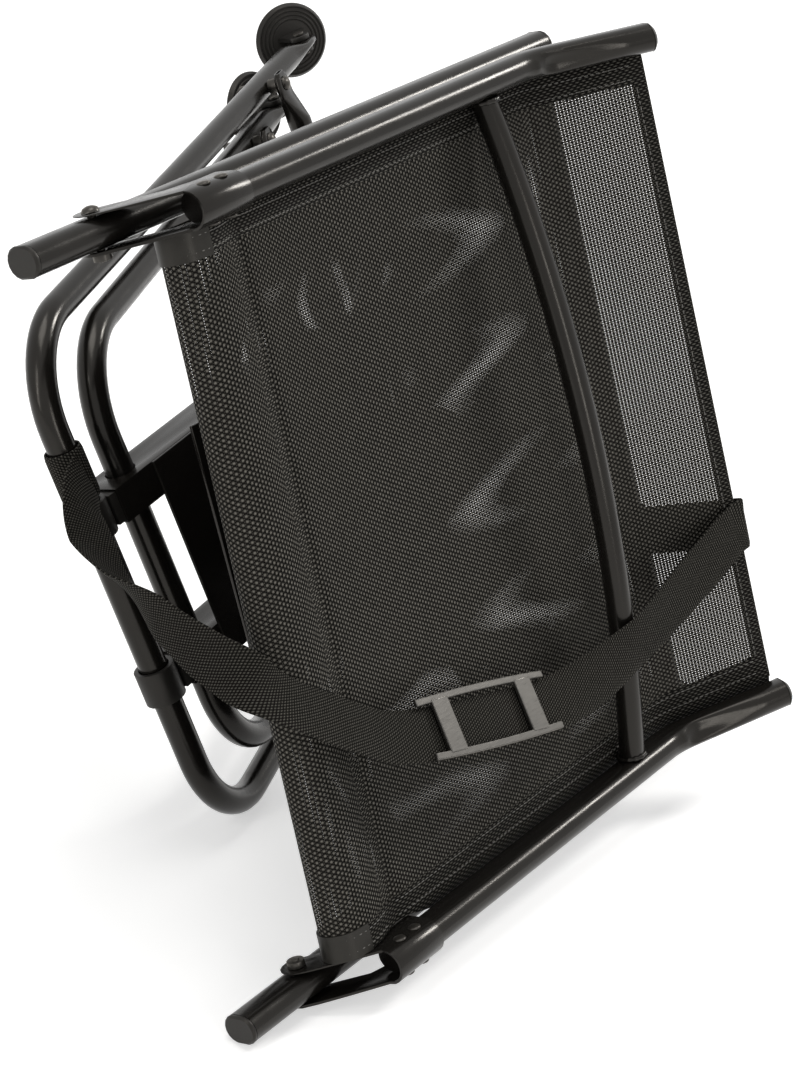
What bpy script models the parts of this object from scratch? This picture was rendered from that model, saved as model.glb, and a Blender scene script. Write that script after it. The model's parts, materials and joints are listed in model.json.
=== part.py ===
"""Folding swivel chair with a mesh sling, folded flat and lying on its right side.

Chair frame: origin on the back's fold axis, x forward along the seat, y to the sitter's left, z up.
A root empty then turns the folded chair onto the floor.
"""

import math

import bmesh
import bpy
from mathutils import Matrix, Vector

# Stance on the floor, degrees
STANCE_ROLL = 67.781
STANCE_PITCH = -2.901

# Clearance between neighbouring solids, metres
GAP = 0.0003

# Rails of the seat and the back
RAIL_SPACING = 0.520
RAIL_WIDTH = 0.0205
RAIL_HEIGHT = 0.0265
TUBE_WALL = 0.0015
LEG_WALL = 0.0011
SEAT_TAIL = 0.0605
SEAT_FRONT = 0.467
BACK_RISE = 0.045
BACK_START = 0.045
BACK_BEND_AT = 0.390
BACK_BEND_DEG = 31.0
BACK_END_LENGTH = 0.096
BACK_END_TOE = 0.005
CAP_FLANGE = 0.003
CAP_DEPTH = 0.014

# Tubes across the frames
FRONT_TUBE_AT = 0.457
CROSS_TUBE_DIA = 0.019
BACK_TUBE_AT = 0.338
BACK_TUBE_BOW = 0.026
SEAT_TUBE_REAR_AT = 0.120
SEAT_TUBE_FRONT_AT = 0.272
SEAT_TUBE_DROP = 0.052
SEAT_TUBE_FLAT = 0.110

# Hinge bracket
SHEET = 0.002
BRACKET_CLEARANCE = 0.0006
BRACKET_START = 0.034
BRACKET_END = 0.080
EAR_RADIUS = 0.0115
HINGE_BOLT_DIA = 0.006

# Sling
SLING_THICKNESS = 0.0016
SLING_BACK_Z = 0.0335
SLING_SEAT_Z = 0.0105
SLING_FOLD_AT = 0.0215
SLING_FRONT = 0.4435

# Swivel and base
SWIVEL_X = 0.196
SWIVEL_DEG = 8.65
PLATE = 0.0025
TOP_PLATE_LENGTH = 0.200
TOP_PLATE_WIDTH = 0.200
RING_OUTER_DIA = 0.150
RING_INNER_DIA = 0.096
RING_THICKNESS = 0.007
COLUMN_DIA = 0.070
COLUMN_WALL = 0.0016
KING_BOLT_DIA = 0.012
BASE_PLATE_BACK = -0.070
BASE_PLATE_FRONT = 0.125
BASE_PLATE_WIDTH = 0.158
ARM_SPACING = 0.132
ARM_WIDTH = 0.026
ARM_HEIGHT = 0.036
ARM_WALL = 0.0013
ARM_TOP = -0.134
ARM_START = -0.1085
ARM_END = 0.130
COLLAR_WALL = 0.0035

# Leg frames, in the base's frame about the swivel axis
LEG_DIA = 0.021
OUTER_AT = -0.1275
OUTER_Z = -0.147
OUTER_WIDTH = 0.3958
OUTER_TILT = 20.0
OUTER_PIN = 0.6155
OUTER_STRETCHER = 0.500
INNER_AT = -0.0824
INNER_Z = -0.1535
LEG_SIDE_GAP = 0.0071
INNER_WIDTH = OUTER_WIDTH - 2 * (LEG_DIA + LEG_SIDE_GAP)
INNER_TILT = 22.0
INNER_PIN = 0.495
STRETCHER_STAGGER = 0.099
INNER_STRETCHER = OUTER_STRETCHER - STRETCHER_STAGGER
LEG_BEND = 0.065
LEG_CLEARANCE = 0.0009
LEG_FLAT_WIDTH = 0.027
LEG_FLAT = 0.006
STRETCHER_RISE = 0.022
STRETCHER_BOLT_DIA = 0.006

# Feet
PAD_DIA = 0.0644
PAD_THICKNESS = 0.007
PAD_DROP = 0.021
PAD_EAR = 0.004
PIN_DIA = 0.006
OUTER_PAD_TILT = 40.0
INNER_PAD_TILT = 68.0

# Carry strap
STRAP_WIDTH = 0.038
STRAP_THICKNESS = 0.0022
STRAP_LOOP_GAP = 0.004
STRAP_LOOP_AT = ARM_SPACING / 2 + ARM_WIDTH / 2 + STRAP_WIDTH / 2 + STRAP_LOOP_GAP
STRAP_SEAT_AT = 0.118 / 0.520
SLIDE_LENGTH = 0.115
SLIDE_WIDTH = 0.047
SLIDE_BAR = 0.0045

X = Vector((1, 0, 0))
Y = Vector((0, 1, 0))
Z = Vector((0, 0, 1))


def material(name, colour, metallic, roughness):
    found = bpy.data.materials.new(name)
    found.use_nodes = True
    shader = found.node_tree.nodes["Principled BSDF"]
    shader.inputs["Base Color"].default_value = (*colour, 1)
    shader.inputs["Metallic"].default_value = metallic
    shader.inputs["Roughness"].default_value = roughness
    return found


def empty(name, parent, location, turn=(0, 0, 0)):
    item = bpy.data.objects.new(name, None)
    bpy.context.scene.collection.objects.link(item)
    item.parent = parent
    item.location = location
    item.rotation_euler = turn
    return item


def add(name, bm, slot, parent):
    bmesh.ops.recalc_face_normals(bm, faces=bm.faces)
    mesh = bpy.data.meshes.new(name)
    bm.to_mesh(mesh)
    bm.free()
    item = bpy.data.objects.new(name, mesh)
    bpy.context.scene.collection.objects.link(item)
    item.parent = parent
    if slot:
        mesh.materials.append(slot)
    else:
        item.hide_render = True
        item.display_type = "WIRE"
    return item


def combine(target, tool, operation="DIFFERENCE"):
    modifier = target.modifiers.new(tool.name, "BOOLEAN")
    modifier.operation = operation
    modifier.solver = "EXACT"
    modifier.object = tool


def oval(width, height, sides=16):
    """A flat oval, or a circle where the two sizes are the same, of the full width and height."""
    radius = min(width, height) / 2
    points = []
    for i in range(sides):
        angle = (i + 0.5) * 2 * math.pi / sides
        a = radius * math.cos(angle) / math.cos(math.pi / sides)
        b = radius * math.sin(angle) / math.cos(math.pi / sides)
        a += math.copysign(width / 2 - radius, a)
        b += math.copysign(height / 2 - radius, b)
        points.append((a, b))
    return points


def rectangle(width, height):
    a = width / 2
    b = height / 2
    return [(-a, -b), (a, -b), (a, b), (-a, b)]


def sweep(name, stations, slot, parent, loop=False):
    """Joins outlines along a path. A station is a centre, two axes, an outer outline and an inner one or None."""
    bm = bmesh.new()
    rings = []
    for centre, side, rise, outer, inner in stations:
        ring = []
        for outline in (outer, inner):
            if outline:
                ring.append([bm.verts.new(centre + side * a + rise * b) for a, b in outline])
        rings.append(ring)
    pairs = list(zip(rings, rings[1:]))
    if loop:
        pairs.append((rings[-1], rings[0]))
    for first, second in pairs:
        for one, two in zip(first, second):
            for i in range(len(one)):
                j = (i + 1) % len(one)
                bm.faces.new((one[i], one[j], two[j], two[i]))
    for ring in () if loop else (rings[0], rings[-1]):
        if len(ring) == 1:
            bm.faces.new(ring[0])
            continue
        outer, inner = ring
        for i in range(len(outer)):
            j = (i + 1) % len(outer)
            bm.faces.new((outer[i], outer[j], inner[j], inner[i]))
    return add(name, bm, slot, parent)


def route(points, radius, steps):
    """Centres and directions along a polyline whose corners are rounded to the radius."""
    found = [(points[0], (points[1] - points[0]).normalized())]
    for before, corner, after in zip(points, points[1:], points[2:]):
        arrive = (corner - before).normalized()
        leave = (after - corner).normalized()
        turn = arrive.angle(leave)
        start = corner - arrive * radius * math.tan(turn / 2)
        inward = (leave - arrive * arrive.dot(leave)).normalized()
        for i in range(steps + 1):
            angle = turn * i / steps
            place = start + arrive * radius * math.sin(angle) + inward * radius * (1 - math.cos(angle))
            found.append((place, arrive * math.cos(angle) + inward * math.sin(angle)))
    found.append((points[-1], (points[-1] - points[-2]).normalized()))
    return found


def tube(name, path, normal, width, height, slot, parent, sides=16, wall=TUBE_WALL):
    """A hollow tube along a flat path: the width runs along the path's normal."""
    outer = oval(width, height, sides)
    inner = oval(width - 2 * wall, height - 2 * wall, sides)
    stations = []
    for centre, direction in path:
        stations.append((centre, normal, direction.cross(normal).normalized(), outer, inner))
    return sweep(name, stations, slot, parent)


def plug(name, centre, direction, side, width, height, slot, parent, dome=0.0012):
    """An end plug: a rounded flange and an insert that points back into the tube."""
    rise = direction.cross(side)
    inset = TUBE_WALL + GAP
    insert = oval(width - 2 * inset, height - 2 * inset)
    full = oval(width, height)
    crown = oval(width - 2.4 * dome, height - 2.4 * dome)
    places = [(CAP_FLANGE + GAP, crown), (CAP_FLANGE + GAP - dome, full), (GAP, full), (GAP, insert)]
    places.append((-CAP_DEPTH, insert))
    stations = [(centre + direction * along, side, rise, outline, None) for along, outline in places]
    return sweep(name, stations, slot, parent)


def turned(name, outline, place, slot, parent, sides=20):
    """A turned solid about the local Z axis of the given matrix: the outline holds radius and height pairs."""
    bm = bmesh.new()
    rings = []
    for radius, height in outline:
        if radius == 0:
            rings.append([bm.verts.new(place @ Vector((0, 0, height)))])
            continue
        ring = []
        for i in range(sides):
            angle = 2 * math.pi * i / sides
            ring.append(bm.verts.new(place @ Vector((radius * math.cos(angle), radius * math.sin(angle), height))))
        rings.append(ring)
    pairs = list(zip(rings, rings[1:]))
    if len(rings[0]) > 1:
        pairs.append((rings[-1], rings[0]))
    for one, two in pairs:
        for i in range(sides):
            j = (i + 1) % sides
            corners = [one[i % len(one)], one[j % len(one)], two[j % len(two)], two[i % len(two)]]
            bm.faces.new(list(dict.fromkeys(corners)))
    return add(name, bm, slot, parent)


def along(direction, place=Vector((0, 0, 0))):
    """A matrix whose local Z axis lies along the direction at the place."""
    return Matrix.Translation(place) @ direction.to_track_quat("Z", "Y").to_matrix().to_4x4()


def bore(target, place, direction, radius, length, parent):
    half = length / 2
    outline = [(0, -half), (radius, -half), (radius, half), (0, half)]
    tool = turned(target.name + "_bore", outline, along(direction, place), None, parent, 16)
    combine(target, tool)


def block(name, low, high, slot, parent):
    bm = bmesh.new()
    bmesh.ops.create_cube(bm, size=1)
    for vert in bm.verts:
        vert.co = Vector([low[i] if vert.co[i] < 0 else high[i] for i in range(3)])
    return add(name, bm, slot, parent)


def prism(name, outline, axis_a, axis_b, start, end, slot, parent):
    """A flat outline carried straight from one place to another."""
    stations = [(place, axis_a, axis_b, outline, None) for place in (start, end)]
    return sweep(name, stations, slot, parent)


def bolt(name, place, direction, dia, low, high, head, slot, parent, collar=None):
    """A bolt with a domed head at its high end and a nut at its low end, as one solid."""
    shank = dia / 2
    outline = [(0, low - 0.0055), (shank, low - 0.0055), (shank, low - 0.0045), (head, low - 0.0045)]
    outline += [(head, low), (shank, low)]
    if collar:
        outline += [(shank, collar[0]), (head, collar[0]), (head, collar[1]), (shank, collar[1])]
    outline += [(shank, high), (head, high), (head * 0.8, high + 0.0022), (head * 0.4, high + 0.0034), (0, high + 0.0037)]
    return turned(name, outline, along(direction, place), slot, parent, 12)


def smooth(points, steps):
    """A smooth run of places through the points."""
    found = []
    for i in range(len(points) - 1):
        before = points[max(i - 1, 0)]
        one = points[i]
        two = points[i + 1]
        after = points[min(i + 2, len(points) - 1)]
        for k in range(steps):
            t = k / steps
            place = one * 2 + (two - before) * t + (before * 2 - one * 5 + two * 4 - after) * t * t
            place += (one * 3 - before - two * 3 + after) * t * t * t
            found.append(place / 2)
    found.append(points[-1])
    return found


def ribbon(name, points, sides, width, thickness, slot, parent, steps=3):
    """Webbing along a smooth run: sides holds the width's direction at each point."""
    places = smooth([Vector(p) for p in points], steps)
    across = smooth([Vector(s).normalized() for s in sides], steps)
    stations = []
    for i, place in enumerate(places):
        direction = (places[min(i + 1, len(places) - 1)] - places[max(i - 1, 0)]).normalized()
        rise = direction.cross(across[i]).normalized()
        side = rise.cross(direction).normalized()
        stations.append((place, side, rise, rectangle(width, thickness), None))
    return sweep(name, stations, slot, parent)


def seat_frame(chair, coat, plastic, steel):
    for name, sign in (("left", 1), ("right", -1)):
        y = sign * RAIL_SPACING / 2
        rear = Vector((-SEAT_TAIL, y, 0))
        front = Vector((SEAT_FRONT, y, 0))
        path = [(rear, X), (front, X)]
        rail = tube("seat_rail_" + name, path, Y, RAIL_WIDTH, RAIL_HEIGHT, coat, chair)
        bore(rail, Vector((0, y, 0)), Y, HINGE_BOLT_DIA / 2 + GAP, 2 * RAIL_WIDTH, chair)
        plug("seat_tail_cap_" + name, rear, -X, Y, RAIL_WIDTH, RAIL_HEIGHT, plastic, chair)
        plug("seat_front_cap_" + name, front, X, Y, RAIL_WIDTH, RAIL_HEIGHT, plastic, chair)
    reach = RAIL_SPACING / 2 - RAIL_WIDTH / 2 - GAP
    ends = [(Vector((FRONT_TUBE_AT, s * reach, 0)), Y) for s in (-1, 1)]
    tube("seat_front_tube", ends, X, CROSS_TUBE_DIA, CROSS_TUBE_DIA, coat, chair, 12)
    for name, at in (("rear", SEAT_TUBE_REAR_AT), ("front", SEAT_TUBE_FRONT_AT)):
        corners = [(-reach, 0), (-reach + 0.035, 0), (-SEAT_TUBE_FLAT, -SEAT_TUBE_DROP)]
        corners += [(-y, z) for y, z in reversed(corners)]
        points = [Vector((at, y, z - 0.003)) for y, z in corners]
        tube("seat_cross_tube_" + name, route(points, 0.05, 3), X, CROSS_TUBE_DIA, CROSS_TUBE_DIA, coat, chair, 12)
    top = -0.003 - SEAT_TUBE_DROP - CROSS_TUBE_DIA / 2 - GAP
    low = (SWIVEL_X - TOP_PLATE_LENGTH / 2, -TOP_PLATE_WIDTH / 2, top - PLATE)
    high = (SWIVEL_X + TOP_PLATE_LENGTH / 2, TOP_PLATE_WIDTH / 2, top)
    plate = block("swivel_top_plate", low, high, coat, chair)
    centre = Vector((SWIVEL_X, 0, 0))
    bore(plate, centre + Z * top, Z, KING_BOLT_DIA / 2 + GAP, 0.05, chair)
    outer = RING_OUTER_DIA / 2
    inner = RING_INNER_DIA / 2
    high = top - PLATE - GAP
    low = high - RING_THICKNESS
    outline = [(inner, low), (outer - 0.004, low), (outer, low + 0.002), (outer, high), (inner, high)]
    turned("swivel_ring_upper", outline, Matrix.Translation(centre), plastic, chair, 28)
    return top, low


def back_frame(back, coat, plastic, steel):
    bend = math.radians(BACK_BEND_DEG)
    for name, sign in (("left", 1), ("right", -1)):
        y = sign * RAIL_SPACING / 2
        lean = Vector((math.cos(bend), -sign * BACK_END_TOE / BACK_END_LENGTH, math.sin(bend))).normalized()
        start = Vector((BACK_START, y, BACK_RISE))
        corner = Vector((BACK_BEND_AT, y, BACK_RISE))
        path = route([start, corner, corner + lean * BACK_END_LENGTH], 0.05, 3)
        tube("back_rail_" + name, path, Y, RAIL_WIDTH, RAIL_HEIGHT, coat, back)
        plug("back_end_cap_" + name, path[-1][0], lean, Y, RAIL_WIDTH, RAIL_HEIGHT, plastic, back, 0.0024)
        bracket = hinge_bracket(name, y, back, coat)
        half = RAIL_WIDTH / 2 + BRACKET_CLEARANCE + SHEET
        bore(bracket, Vector((0, y, 0)), Y, HINGE_BOLT_DIA / 2 + GAP, 0.06, back)
        outward = Y * sign
        place = Vector((0, y, 0))
        bolt("hinge_bolt_" + name, place, outward, HINGE_BOLT_DIA, -half - GAP, half + GAP, 0.0062, steel, back)
    reach = RAIL_SPACING / 2 - RAIL_WIDTH / 2 - GAP
    path = []
    for i in range(9):
        t = -1 + i / 4
        slope = -2 * t * BACK_TUBE_BOW / reach if abs(t) < 1 else 0
        place = Vector((BACK_TUBE_AT, t * reach, BACK_RISE + BACK_TUBE_BOW * (1 - t * t)))
        path.append((place, Vector((0, 1, slope)).normalized()))
    tube("back_cross_tube", path, X, CROSS_TUBE_DIA, CROSS_TUBE_DIA, coat, back, 14)


def hinge_bracket(name, y, back, coat):
    """A sheet folded over the back rail, whose two sides run down as ears beside the seat rail."""
    inner = RAIL_WIDTH / 2 + BRACKET_CLEARANCE
    outer = inner + SHEET
    crown = BACK_RISE + RAIL_HEIGHT / 2 - RAIL_WIDTH / 2
    steps = 10
    outline = [(-outer, -0.02)]
    for radius, order in ((outer, 1), (inner, -1)):
        for i in range(steps + 1):
            angle = math.pi * (i if order < 0 else steps - i) / steps
            outline.append((radius * math.cos(angle), crown + radius * math.sin(angle)))
        outline.append((order * radius, -0.02))
    start = Vector((-0.02, y, 0))
    end = Vector((BRACKET_END, y, 0))
    bracket = prism("hinge_bracket_" + name, outline, Y, Z, start, end, coat, back)
    side = [(BRACKET_END + 0.01, 0.08), (BRACKET_START, 0.08), (BRACKET_START, BACK_RISE + 0.002)]
    for i in range(1, 5):
        t = i / 5
        side.append((BRACKET_START * (1 - t) ** 2 + 0.017 * t * (1 - t) - EAR_RADIUS * t * t * 0.9,
                     (BACK_RISE + 0.002) * (1 - t) ** 2 + 0.05 * t * (1 - t) + 0.006 * t * t))
    for i in range(7):
        angle = math.radians(152 + 158 * i / 6)
        side.append((EAR_RADIUS * math.cos(angle), EAR_RADIUS * math.sin(angle)))
    side.append((0.040, BACK_RISE - 0.020))
    side.append((0.062, BACK_RISE - 0.0125))
    side.append((BRACKET_END + 0.01, BACK_RISE - 0.0125))
    shape = prism("bracket_shape_" + name, side, X, Z, Vector((0, y - 0.03, 0)), Vector((0, y + 0.03, 0)), None, back)
    combine(bracket, shape, "INTERSECT")
    return bracket


def sling(chair, back, mesh):
    """One taut sheet over back and seat, parted at the middle of its fold."""
    wide = RAIL_SPACING - RAIL_WIDTH - 2 * GAP
    narrow = wide - 2 * (BRACKET_CLEARANCE + SHEET)
    radius = (SLING_BACK_Z - SLING_SEAT_Z) / 2
    middle = Vector((SLING_FOLD_AT, 0, SLING_SEAT_Z + radius))
    bend = math.radians(BACK_BEND_DEG)
    lean = Vector((math.cos(bend), 0, math.sin(bend)))
    drop = BACK_RISE - SLING_BACK_Z
    corner = Vector((BACK_BEND_AT + drop * math.tan(bend / 2), 0, SLING_BACK_Z))
    near = BRACKET_END + 0.002
    upper = [corner + lean * BACK_END_LENGTH, corner, Vector((near + 0.005, 0, SLING_BACK_Z))]
    path = route(upper, 0.05, 3)
    path += [(Vector((x, 0, SLING_BACK_Z)), -X) for x in (near, SLING_FOLD_AT)]
    lower = []
    for i in range(1, 6):
        angle = math.radians(90 + 17.6 * i)
        place = middle + Vector((math.cos(angle), 0, math.sin(angle))) * radius
        heading = Vector((-math.sin(angle), 0, math.cos(angle)))
        path.append((place, heading))
        lower.append((Vector((place.x, 0, 2 * middle.z - place.z)), Vector((-heading.x, 0, heading.z))))
    lower.reverse()
    lower += [(Vector((x, 0, SLING_SEAT_Z)), X) for x in (SLING_FOLD_AT, near, near + 0.005, SLING_FRONT)]
    for name, run, parent in (("back_sling", path, back), ("seat_sling", lower, chair)):
        stations = []
        for place, heading in run:
            toe = max(0, place.x - BACK_BEND_AT) * 2 * BACK_END_TOE / (BACK_END_LENGTH * math.cos(bend))
            outline = rectangle((wide if place.x > near + 0.001 else narrow) - toe, SLING_THICKNESS)
            stations.append((place, Y, heading.cross(Y).normalized(), outline, None))
        sweep(name, stations, mesh, parent)


def base_frame(base, top, low, coat, plastic, steel):
    outer = RING_OUTER_DIA / 2
    inner = RING_INNER_DIA / 2
    high = low - GAP
    bottom = high - RING_THICKNESS
    outline = [(inner, bottom), (outer, bottom), (outer, high - 0.002), (outer - 0.004, high), (inner, high)]
    turned("swivel_ring_lower", outline, Matrix.Identity(4), plastic, base, 28)
    plate_top = ARM_TOP + GAP + PLATE
    shell = COLUMN_DIA / 2
    flange = shell + 0.018
    hole = KING_BOLT_DIA / 2 + GAP
    outline = [(shell - COLUMN_WALL, plate_top + GAP), (shell, plate_top + GAP), (shell, bottom - 0.004 - GAP)]
    outline += [(flange, bottom - 0.004 - GAP), (flange, bottom - GAP), (shell - COLUMN_WALL, bottom - GAP)]
    turned("swivel_column", outline, Matrix.Identity(4), coat, base, 28)
    half = BASE_PLATE_WIDTH / 2
    plate = block("base_plate", (BASE_PLATE_BACK, -half, ARM_TOP + GAP), (BASE_PLATE_FRONT, half, plate_top), coat, base)
    bore(plate, Vector((0, 0, plate_top)), Z, hole, 0.03, base)
    bolt("swivel_king_bolt", Vector((0, 0, 0)), Z, KING_BOLT_DIA, ARM_TOP, top + GAP, 0.011, steel, base)
    middle = ARM_TOP - ARM_HEIGHT / 2
    for name, sign in (("left", 1), ("right", -1)):
        v = sign * ARM_SPACING / 2
        rear = Vector((ARM_START, v, middle))
        front = Vector((ARM_END, v, middle))
        walls = (rectangle(ARM_WIDTH, ARM_HEIGHT), rectangle(ARM_WIDTH - 2 * ARM_WALL, ARM_HEIGHT - 2 * ARM_WALL))
        arm = sweep("base_arm_" + name, [(place, Y, Z, *walls) for place in (rear, front)], coat, base)
        bore(arm, Vector((INNER_AT, v, INNER_Z)), Y, LEG_DIA / 2 + LEG_CLEARANCE, 2 * ARM_WIDTH, base)
        inset = 2 * (ARM_WALL + GAP)
        insert = rectangle(ARM_WIDTH - inset, ARM_HEIGHT - inset)
        full = rectangle(ARM_WIDTH, ARM_HEIGHT)
        places = [(0.003, full), (GAP, full), (GAP, insert), (-0.015, insert)]
        stations = [(front + X * step, Y, Z, outline, None) for step, outline in places]
        sweep("arm_cap_" + name, stations, plastic, base)
        collar(name, v, middle, base, plastic)


def collar(name, v, middle, base, plastic):
    """A moulded collar round the outer leg frame's cross run, plugged into the arm's rear end."""
    bore_radius = LEG_DIA / 2 + LEG_CLEARANCE
    shell = bore_radius + COLLAR_WALL
    half = ARM_WIDTH / 2
    centre = Vector((OUTER_AT, v, OUTER_Z))
    outline = [(bore_radius, -half), (shell, -half), (shell, half), (bore_radius, half)]
    ring = turned("leg_collar_" + name, outline, along(Y, centre), plastic, base, 24)
    inset = ARM_WALL + GAP
    tongue_half = ARM_HEIGHT / 2 - inset
    low = (OUTER_AT + bore_radius + 0.0012, v - half + inset, middle - tongue_half + 0.006)
    high = (ARM_START + 0.012, v + half - inset, middle + tongue_half)
    tongue = block("collar_tongue_" + name, low, high, None, base)
    combine(ring, tongue, "UNION")


def leg_frame(name, width, pin, body, coat):
    """A U of round tube in the local XY plane: the cross run is on the Y axis, the ends are pressed flat."""
    half = width / 2
    ends = [(pin + 0.011, 0.014, LEG_FLAT), (pin + 0.006, 0.024, LEG_FLAT), (pin - 0.014, LEG_FLAT_WIDTH, LEG_FLAT)]
    ends.append((pin - 0.042, LEG_DIA, LEG_DIA))
    points = [Vector((pin - 0.042, -half, 0)), Vector((0, -half, 0)), Vector((0, half, 0)), Vector((pin - 0.042, half, 0))]
    path = route(points, LEG_BEND, 6)[1:-1]
    runs = [(Vector((x, -half, 0)), -X, a, b) for x, a, b in ends]
    runs += [(place, heading, LEG_DIA, LEG_DIA) for place, heading in path]
    runs += [(Vector((x, half, 0)), X, a, b) for x, a, b in reversed(ends)]
    stations = []
    for place, heading, a, b in runs:
        outer = oval(a, b, 12)
        inner = oval(a - 2 * LEG_WALL, b - 2 * LEG_WALL, 12)
        stations.append((place, Z, heading.cross(Z).normalized(), outer, inner))
    frame = sweep(name, stations, coat, body)
    for sign in (-1, 1):
        bore(frame, Vector((pin, sign * half, 0)), Y, PIN_DIA / 2 + GAP, 0.03, body)
    return frame


def stretcher(name, frame, width, at, body, coat, steel):
    """A tube between two legs with flattened ends, bolted down over spacers on the legs' seat side."""
    half = width / 2
    ends = [(half + 0.010, 0.012), (half + 0.006, 0.020), (half - 0.010, 0.024)]
    flat = 0.005
    runs = [(-y, w, flat, STRETCHER_RISE) for y, w in ends]
    runs.append((-half + 0.032, CROSS_TUBE_DIA, CROSS_TUBE_DIA, STRETCHER_RISE + 0.003))
    runs += [(-y, a, b, z) for y, a, b, z in reversed(runs)]
    stations = []
    for y, a, b, z in runs:
        inner = oval(a - 2 * LEG_WALL, b - 2 * LEG_WALL, 12)
        stations.append((Vector((at, y, z)), X, Z, oval(a, b, 12), inner))
    bar = sweep(name + "_stretcher", stations, coat, body)
    for side, sign in (("left", 1), ("right", -1)):
        place = Vector((at, sign * half, 0))
        radius = STRETCHER_BOLT_DIA / 2 + GAP
        bore(bar, place + Z * STRETCHER_RISE, Z, radius, 0.02, body)
        bore(frame, place, Z, radius, 0.03, body)
        below = -LEG_DIA / 2 - GAP
        above = STRETCHER_RISE + flat / 2 + GAP
        gap = (LEG_DIA / 2 + GAP, STRETCHER_RISE - flat / 2 - GAP)
        bolt(name + "_bolt_" + side, place, Z, STRETCHER_BOLT_DIA, below, above, 0.0062, steel, body, gap)


def foot(name, place, tilt, body, plastic, steel):
    """A round pad with two ears on a pin. Local X points to the sole."""
    pivot = empty(name + "_pivot", body, place, (0, math.radians(tilt), 0))
    radius = PAD_DIA / 2
    sole = PAD_DROP + PAD_THICKNESS
    outline = [(0, PAD_DROP), (radius * 0.6, PAD_DROP), (radius * 0.93, PAD_DROP + 0.0022), (radius, PAD_DROP + 0.0045)]
    outline += [(radius, sole - 0.001), (radius - 0.0012, sole), (0, sole)]
    pad = turned(name, outline, along(X), plastic, pivot, 24)
    inner = LEG_FLAT / 2 + GAP
    for index, sign in enumerate((-1, 1)):
        side = [(PAD_DROP + 0.002, -0.0125), (PAD_DROP + 0.002, 0.0125)]
        for i in range(7):
            angle = math.radians(70 + 220 * i / 6)
            side.append((0.0085 * math.cos(angle), 0.0085 * math.sin(angle)))
        start = Vector((0, sign * inner, 0))
        end = Vector((0, sign * (inner + PAD_EAR), 0))
        ear = prism(name + "_ear_" + str(index), side, X, Z, start, end, None, pivot)
        combine(pad, ear, "UNION")
    bore(pad, Vector((0, 0, 0)), Y, PIN_DIA / 2 + GAP, 0.05, pivot)
    end = inner + PAD_EAR + GAP
    shank = PIN_DIA / 2
    outline = [(0, -end - 0.002), (0.0048, -end - 0.002), (0.0048, -end), (shank, -end), (shank, end), (0.0048, end)]
    outline += [(0.0048, end + 0.002), (0, end + 0.002)]
    turned(name + "_pin", outline, along(Y, Vector(place)), steel, body, 12)


def legs(base, coat, plastic, steel):
    plans = (("outer", OUTER_AT, OUTER_Z, OUTER_TILT, OUTER_WIDTH, OUTER_PIN, OUTER_STRETCHER, OUTER_PAD_TILT),
             ("inner", INNER_AT, INNER_Z, INNER_TILT, INNER_WIDTH, INNER_PIN, INNER_STRETCHER, INNER_PAD_TILT))
    bodies = []
    for name, at, z, tilt, width, pin, bar_at, pad_tilt in plans:
        body = empty(name + "_legs_pivot", base, (at, 0, z), (0, math.radians(tilt), 0))
        frame = leg_frame(name + "_leg_frame", width, pin, body, coat)
        stretcher(name, frame, width, bar_at, body, coat, steel)
        for side, sign in (("left", 1), ("right", -1)):
            foot(name + "_foot_" + side, (pin, sign * width / 2, 0), pad_tilt, body, plastic, steel)
        bodies.append(body)
    return bodies


def over_frame(points):
    """Strap points, given for a frame 467 mm long, 520 mm wide and 45 mm deep, moved to this frame."""
    return [(x * SEAT_FRONT / 0.467, y * RAIL_SPACING / 0.520, z * BACK_RISE / 0.045) for x, y, z in points]


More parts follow.
